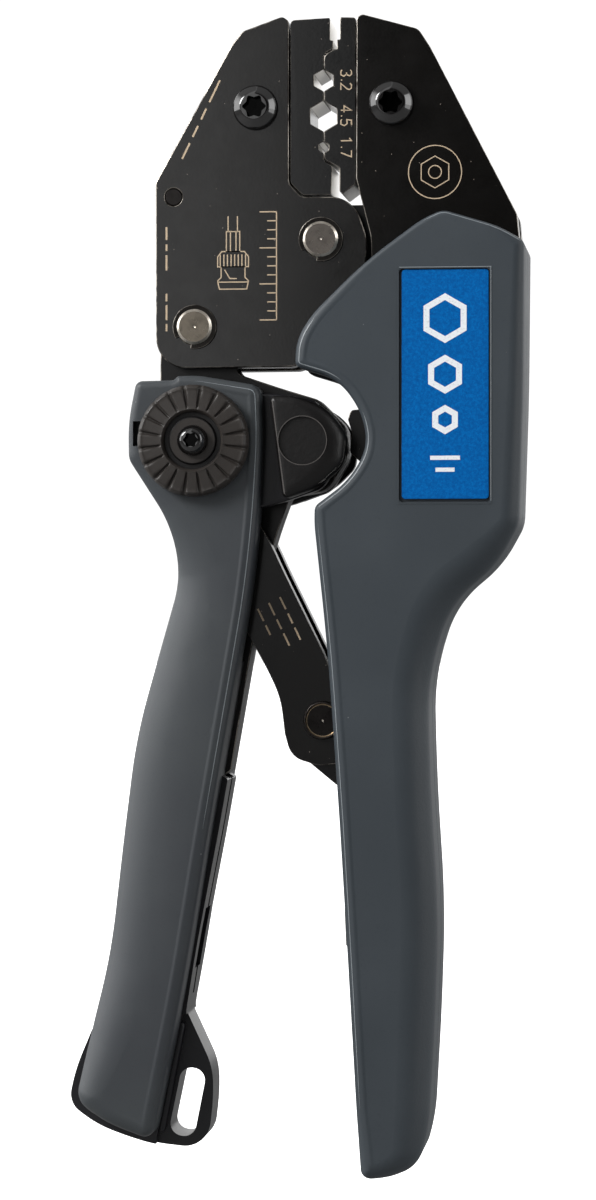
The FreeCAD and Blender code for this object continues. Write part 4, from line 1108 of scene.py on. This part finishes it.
link_lines = []
for row in range(3):
    shift = np.array([-1.9 * row, -1.0 * row])
    start = np.array([-7.2, -60.6]) + shift
    end = np.array([-3.6, -68.0]) + shift
    runs = [(0.02, 0.3), (0.4, 0.62), (0.72, 1.0)]
    link_lines += dashes(start, end, runs[:2] if row == 2 else runs)
strokes("mark_link", link_lines, 0.3, LINK_Y, etch, "link")

# Painted highlight: a light ring at the edge of the cap's dish.
dish_ring = (regular(*THUMB_DISH, 4.12, 56), True)
strokes("cap_dish_ring", [dish_ring], 0.14, -CAP_FACE, cap_soft_highlight, "pawl", 0.015, 0.04)

# Label: a plain hexagon motif on the blue plate, and the moulded lip round its recess.
LABEL_FACE = -12.7
LIP_CORNERS = [(13.6, -5.5), (29.15, -5.5), (29.15, -45.0), (13.6, -45.0)]
strokes("label_lip", [(LIP_CORNERS, True)], 0.3, -GRIP_FACE, slate, "frame", 0.07, 0.1)
# Painted highlight: a light line along the top and right of the lip.
lit_lip = [(13.8, -5.42), (29.2, -5.42), (29.2, -44.6)]
strokes("label_lip_highlight", [lit_lip], 0.12, -GRIP_FACE - 0.07, slate_highlight, "frame", 0.02, 0.05)
motif_lines = [
    (regular(21.5, z, radius, 6, 90), True) for z, radius in ((-14.0, 3.6), (-23.4, 2.7), (-31.0, 1.9))
]
strokes("label_motif", motif_lines, 1.0, LABEL_FACE, white_ink, "frame", 0.02, 0.03)
bar_lines = [[(19.0, -37.4), (24.0, -37.4)], [(19.9, -39.4), (23.1, -39.4)]]
strokes("label_bars", bar_lines, 0.7, LABEL_FACE, white_ink, "frame", 0.02, 0.03)

# ---------------------------------------------------------------- floor, light and camera
FLOOR_Z = -0.2
FLOOR_REACH = 6.0
floor_mesh = bpy.data.meshes.new("floor")
floor_signs = ((-1, -1), (1, -1), (1, 1), (-1, 1))
floor_corners = [(across * FLOOR_REACH, along * FLOOR_REACH, FLOOR_Z) for across, along in floor_signs]
floor_mesh.from_pydata(floor_corners, [], [(0, 1, 2, 3)])
floor = bpy.data.objects.new("floor", floor_mesh)
bpy.context.scene.collection.objects.link(floor)
floor_finish = Finish("floor_white", (0.2, 0.2, 0.2, 1.0), 0.8, specular=0.1)
# The floor looks white to the camera, but hardly lights the tool's undersides.
seen_directly = floor_finish.node("ShaderNodeLightPath").outputs["Is Camera Ray"]
floor_finish.mix_colour(seen_directly, (0.86, 0.86, 0.86, 1.0))
floor_glow = floor_finish.ramp(seen_directly, 0.0, 1.0, 0.05, 0.85)
floor_finish.shader.inputs["Emission Color"].default_value = (1, 1, 1, 1)
floor_finish.link(floor_glow, floor_finish.shader.inputs["Emission Strength"])
floor_mesh.materials.append(floor_finish.finish())

world = bpy.data.worlds.new("studio")
bpy.context.scene.world = world
world.use_nodes = True
sky = world.node_tree
background = sky.nodes["Background"]
direction = sky.nodes.new("ShaderNodeTexCoord").outputs["Generated"]


def sky_maths(operation, first, second=0.0):
    made = sky.nodes.new("ShaderNodeMath")
    made.operation = operation
    for slot, value in enumerate((first, second)):
        if isinstance(value, (int, float)):
            made.inputs[slot].default_value = value
        else:
            sky.links.new(value, made.inputs[slot])
    return made.outputs[0]


def sky_step(value, low, high):
    made = sky.nodes.new("ShaderNodeMapRange")
    made.interpolation_type = "SMOOTHSTEP"
    made.inputs["From Min"].default_value = low
    made.inputs["From Max"].default_value = high
    sky.links.new(value, made.inputs["Value"])
    return made.outputs["Result"]


# A light tent: white behind the tool, bright on the left, weaker on the right, faint above, and
# a dark opening round the camera whose left edge is near, so that the left of the head shines.
split = sky.nodes.new("ShaderNodeSeparateXYZ")
sky.links.new(direction, split.inputs["Vector"])
ahead = sky_maths("MAXIMUM", sky_maths("MULTIPLY", split.outputs["Y"], -1.0), 0.05)
across = sky_maths("DIVIDE", split.outputs["X"], ahead)
upward = sky_maths("DIVIDE", split.outputs["Z"], ahead)
leftward = sky_maths("MULTIPLY", across, -1.0)
near_left = sky_maths("MULTIPLY", sky_step(leftward, 0.096, 0.125), 1.15)
fading = sky_maths("SUBTRACT", 1.0, sky_maths("MULTIPLY", sky_step(leftward, 0.3, 0.7), 0.6))
near_left = sky_maths("MULTIPLY", near_left, fading)
far_left = sky_maths("MULTIPLY", sky_step(split.outputs["X"], -0.7, -0.95), 3.6)
far_right = sky_maths("MULTIPLY", sky_step(split.outputs["X"], 0.7, 0.95), 1.7)
above = sky_maths("MULTIPLY", sky_step(upward, 0.5, 1.0), 0.35)
panels = sky_maths("MAXIMUM", sky_maths("MAXIMUM", near_left, far_left), far_right)
panels = sky_maths("MAXIMUM", panels, above)
tent = sky_maths("ADD", panels, 0.03)
behind = sky_maths("MULTIPLY", sky_step(split.outputs["Y"], 0.0, 0.25), 1.3)
tent = sky_maths("MAXIMUM", tent, behind)
seen = sky.nodes.new("ShaderNodeLightPath")
choose = sky.nodes.new("ShaderNodeMix")
choose.data_type = "FLOAT"
sky.links.new(seen.outputs["Is Camera Ray"], choose.inputs["Factor"])
sky.links.new(tent, choose.inputs["A"])
choose.inputs["B"].default_value = 1.1
sky.links.new(choose.outputs["Result"], background.inputs["Strength"])
background.inputs["Color"].default_value = (1, 1, 1, 1)


def softbox(name, place, target, width, height, power):
    light = bpy.data.lights.new(name, "AREA")
    light.shape = "RECTANGLE"
    light.size = width
    light.size_y = height
    light.energy = power
    made = bpy.data.objects.new(name, light)
    made.location = place
    made.rotation_euler = (Vector(target) - Vector(place)).to_track_quat("-Z", "Y").to_euler()
    bpy.context.scene.collection.objects.link(made)
    return made


MIDDLE = (0.0, 0.0, -0.08)
softbox("key_left", (-0.42, -0.3, 0.24), (0.0, 0.0, -0.02), 0.3, 0.2, 4.0)
softbox("fill_right", (0.7, -0.2, 0.0), MIDDLE, 0.25, 0.9, 1.6)
softbox("kicker", (0.3, -0.3, -0.25), (0.0, 0.0, 0.0), 0.12, 0.12, 0.3)

# The eye stands to the right of the tool's middle, so the right faces of the parts show. The lens
# fits VIEW_HEIGHT, in metres, into the picture's height at the tool's middle plane.
EYE = Vector((0.0626, -0.610, -0.08224))
AIM = Vector((-0.0051, 0.0, -0.08224))
VIEW_HEIGHT = 0.2063
camera = bpy.data.cameras.new("camera")
camera.sensor_width = 36.0
camera.lens = camera.sensor_width * (AIM - EYE).length / VIEW_HEIGHT
viewer = bpy.data.objects.new("camera", camera)
viewer.location = EYE
viewer.rotation_euler = (AIM - EYE).to_track_quat("-Z", "Y").to_euler()
bpy.context.scene.collection.objects.link(viewer)
bpy.context.scene.camera = viewer

bpy.context.scene.view_settings.view_transform = "Standard"
bpy.context.scene.view_settings.look = "None"
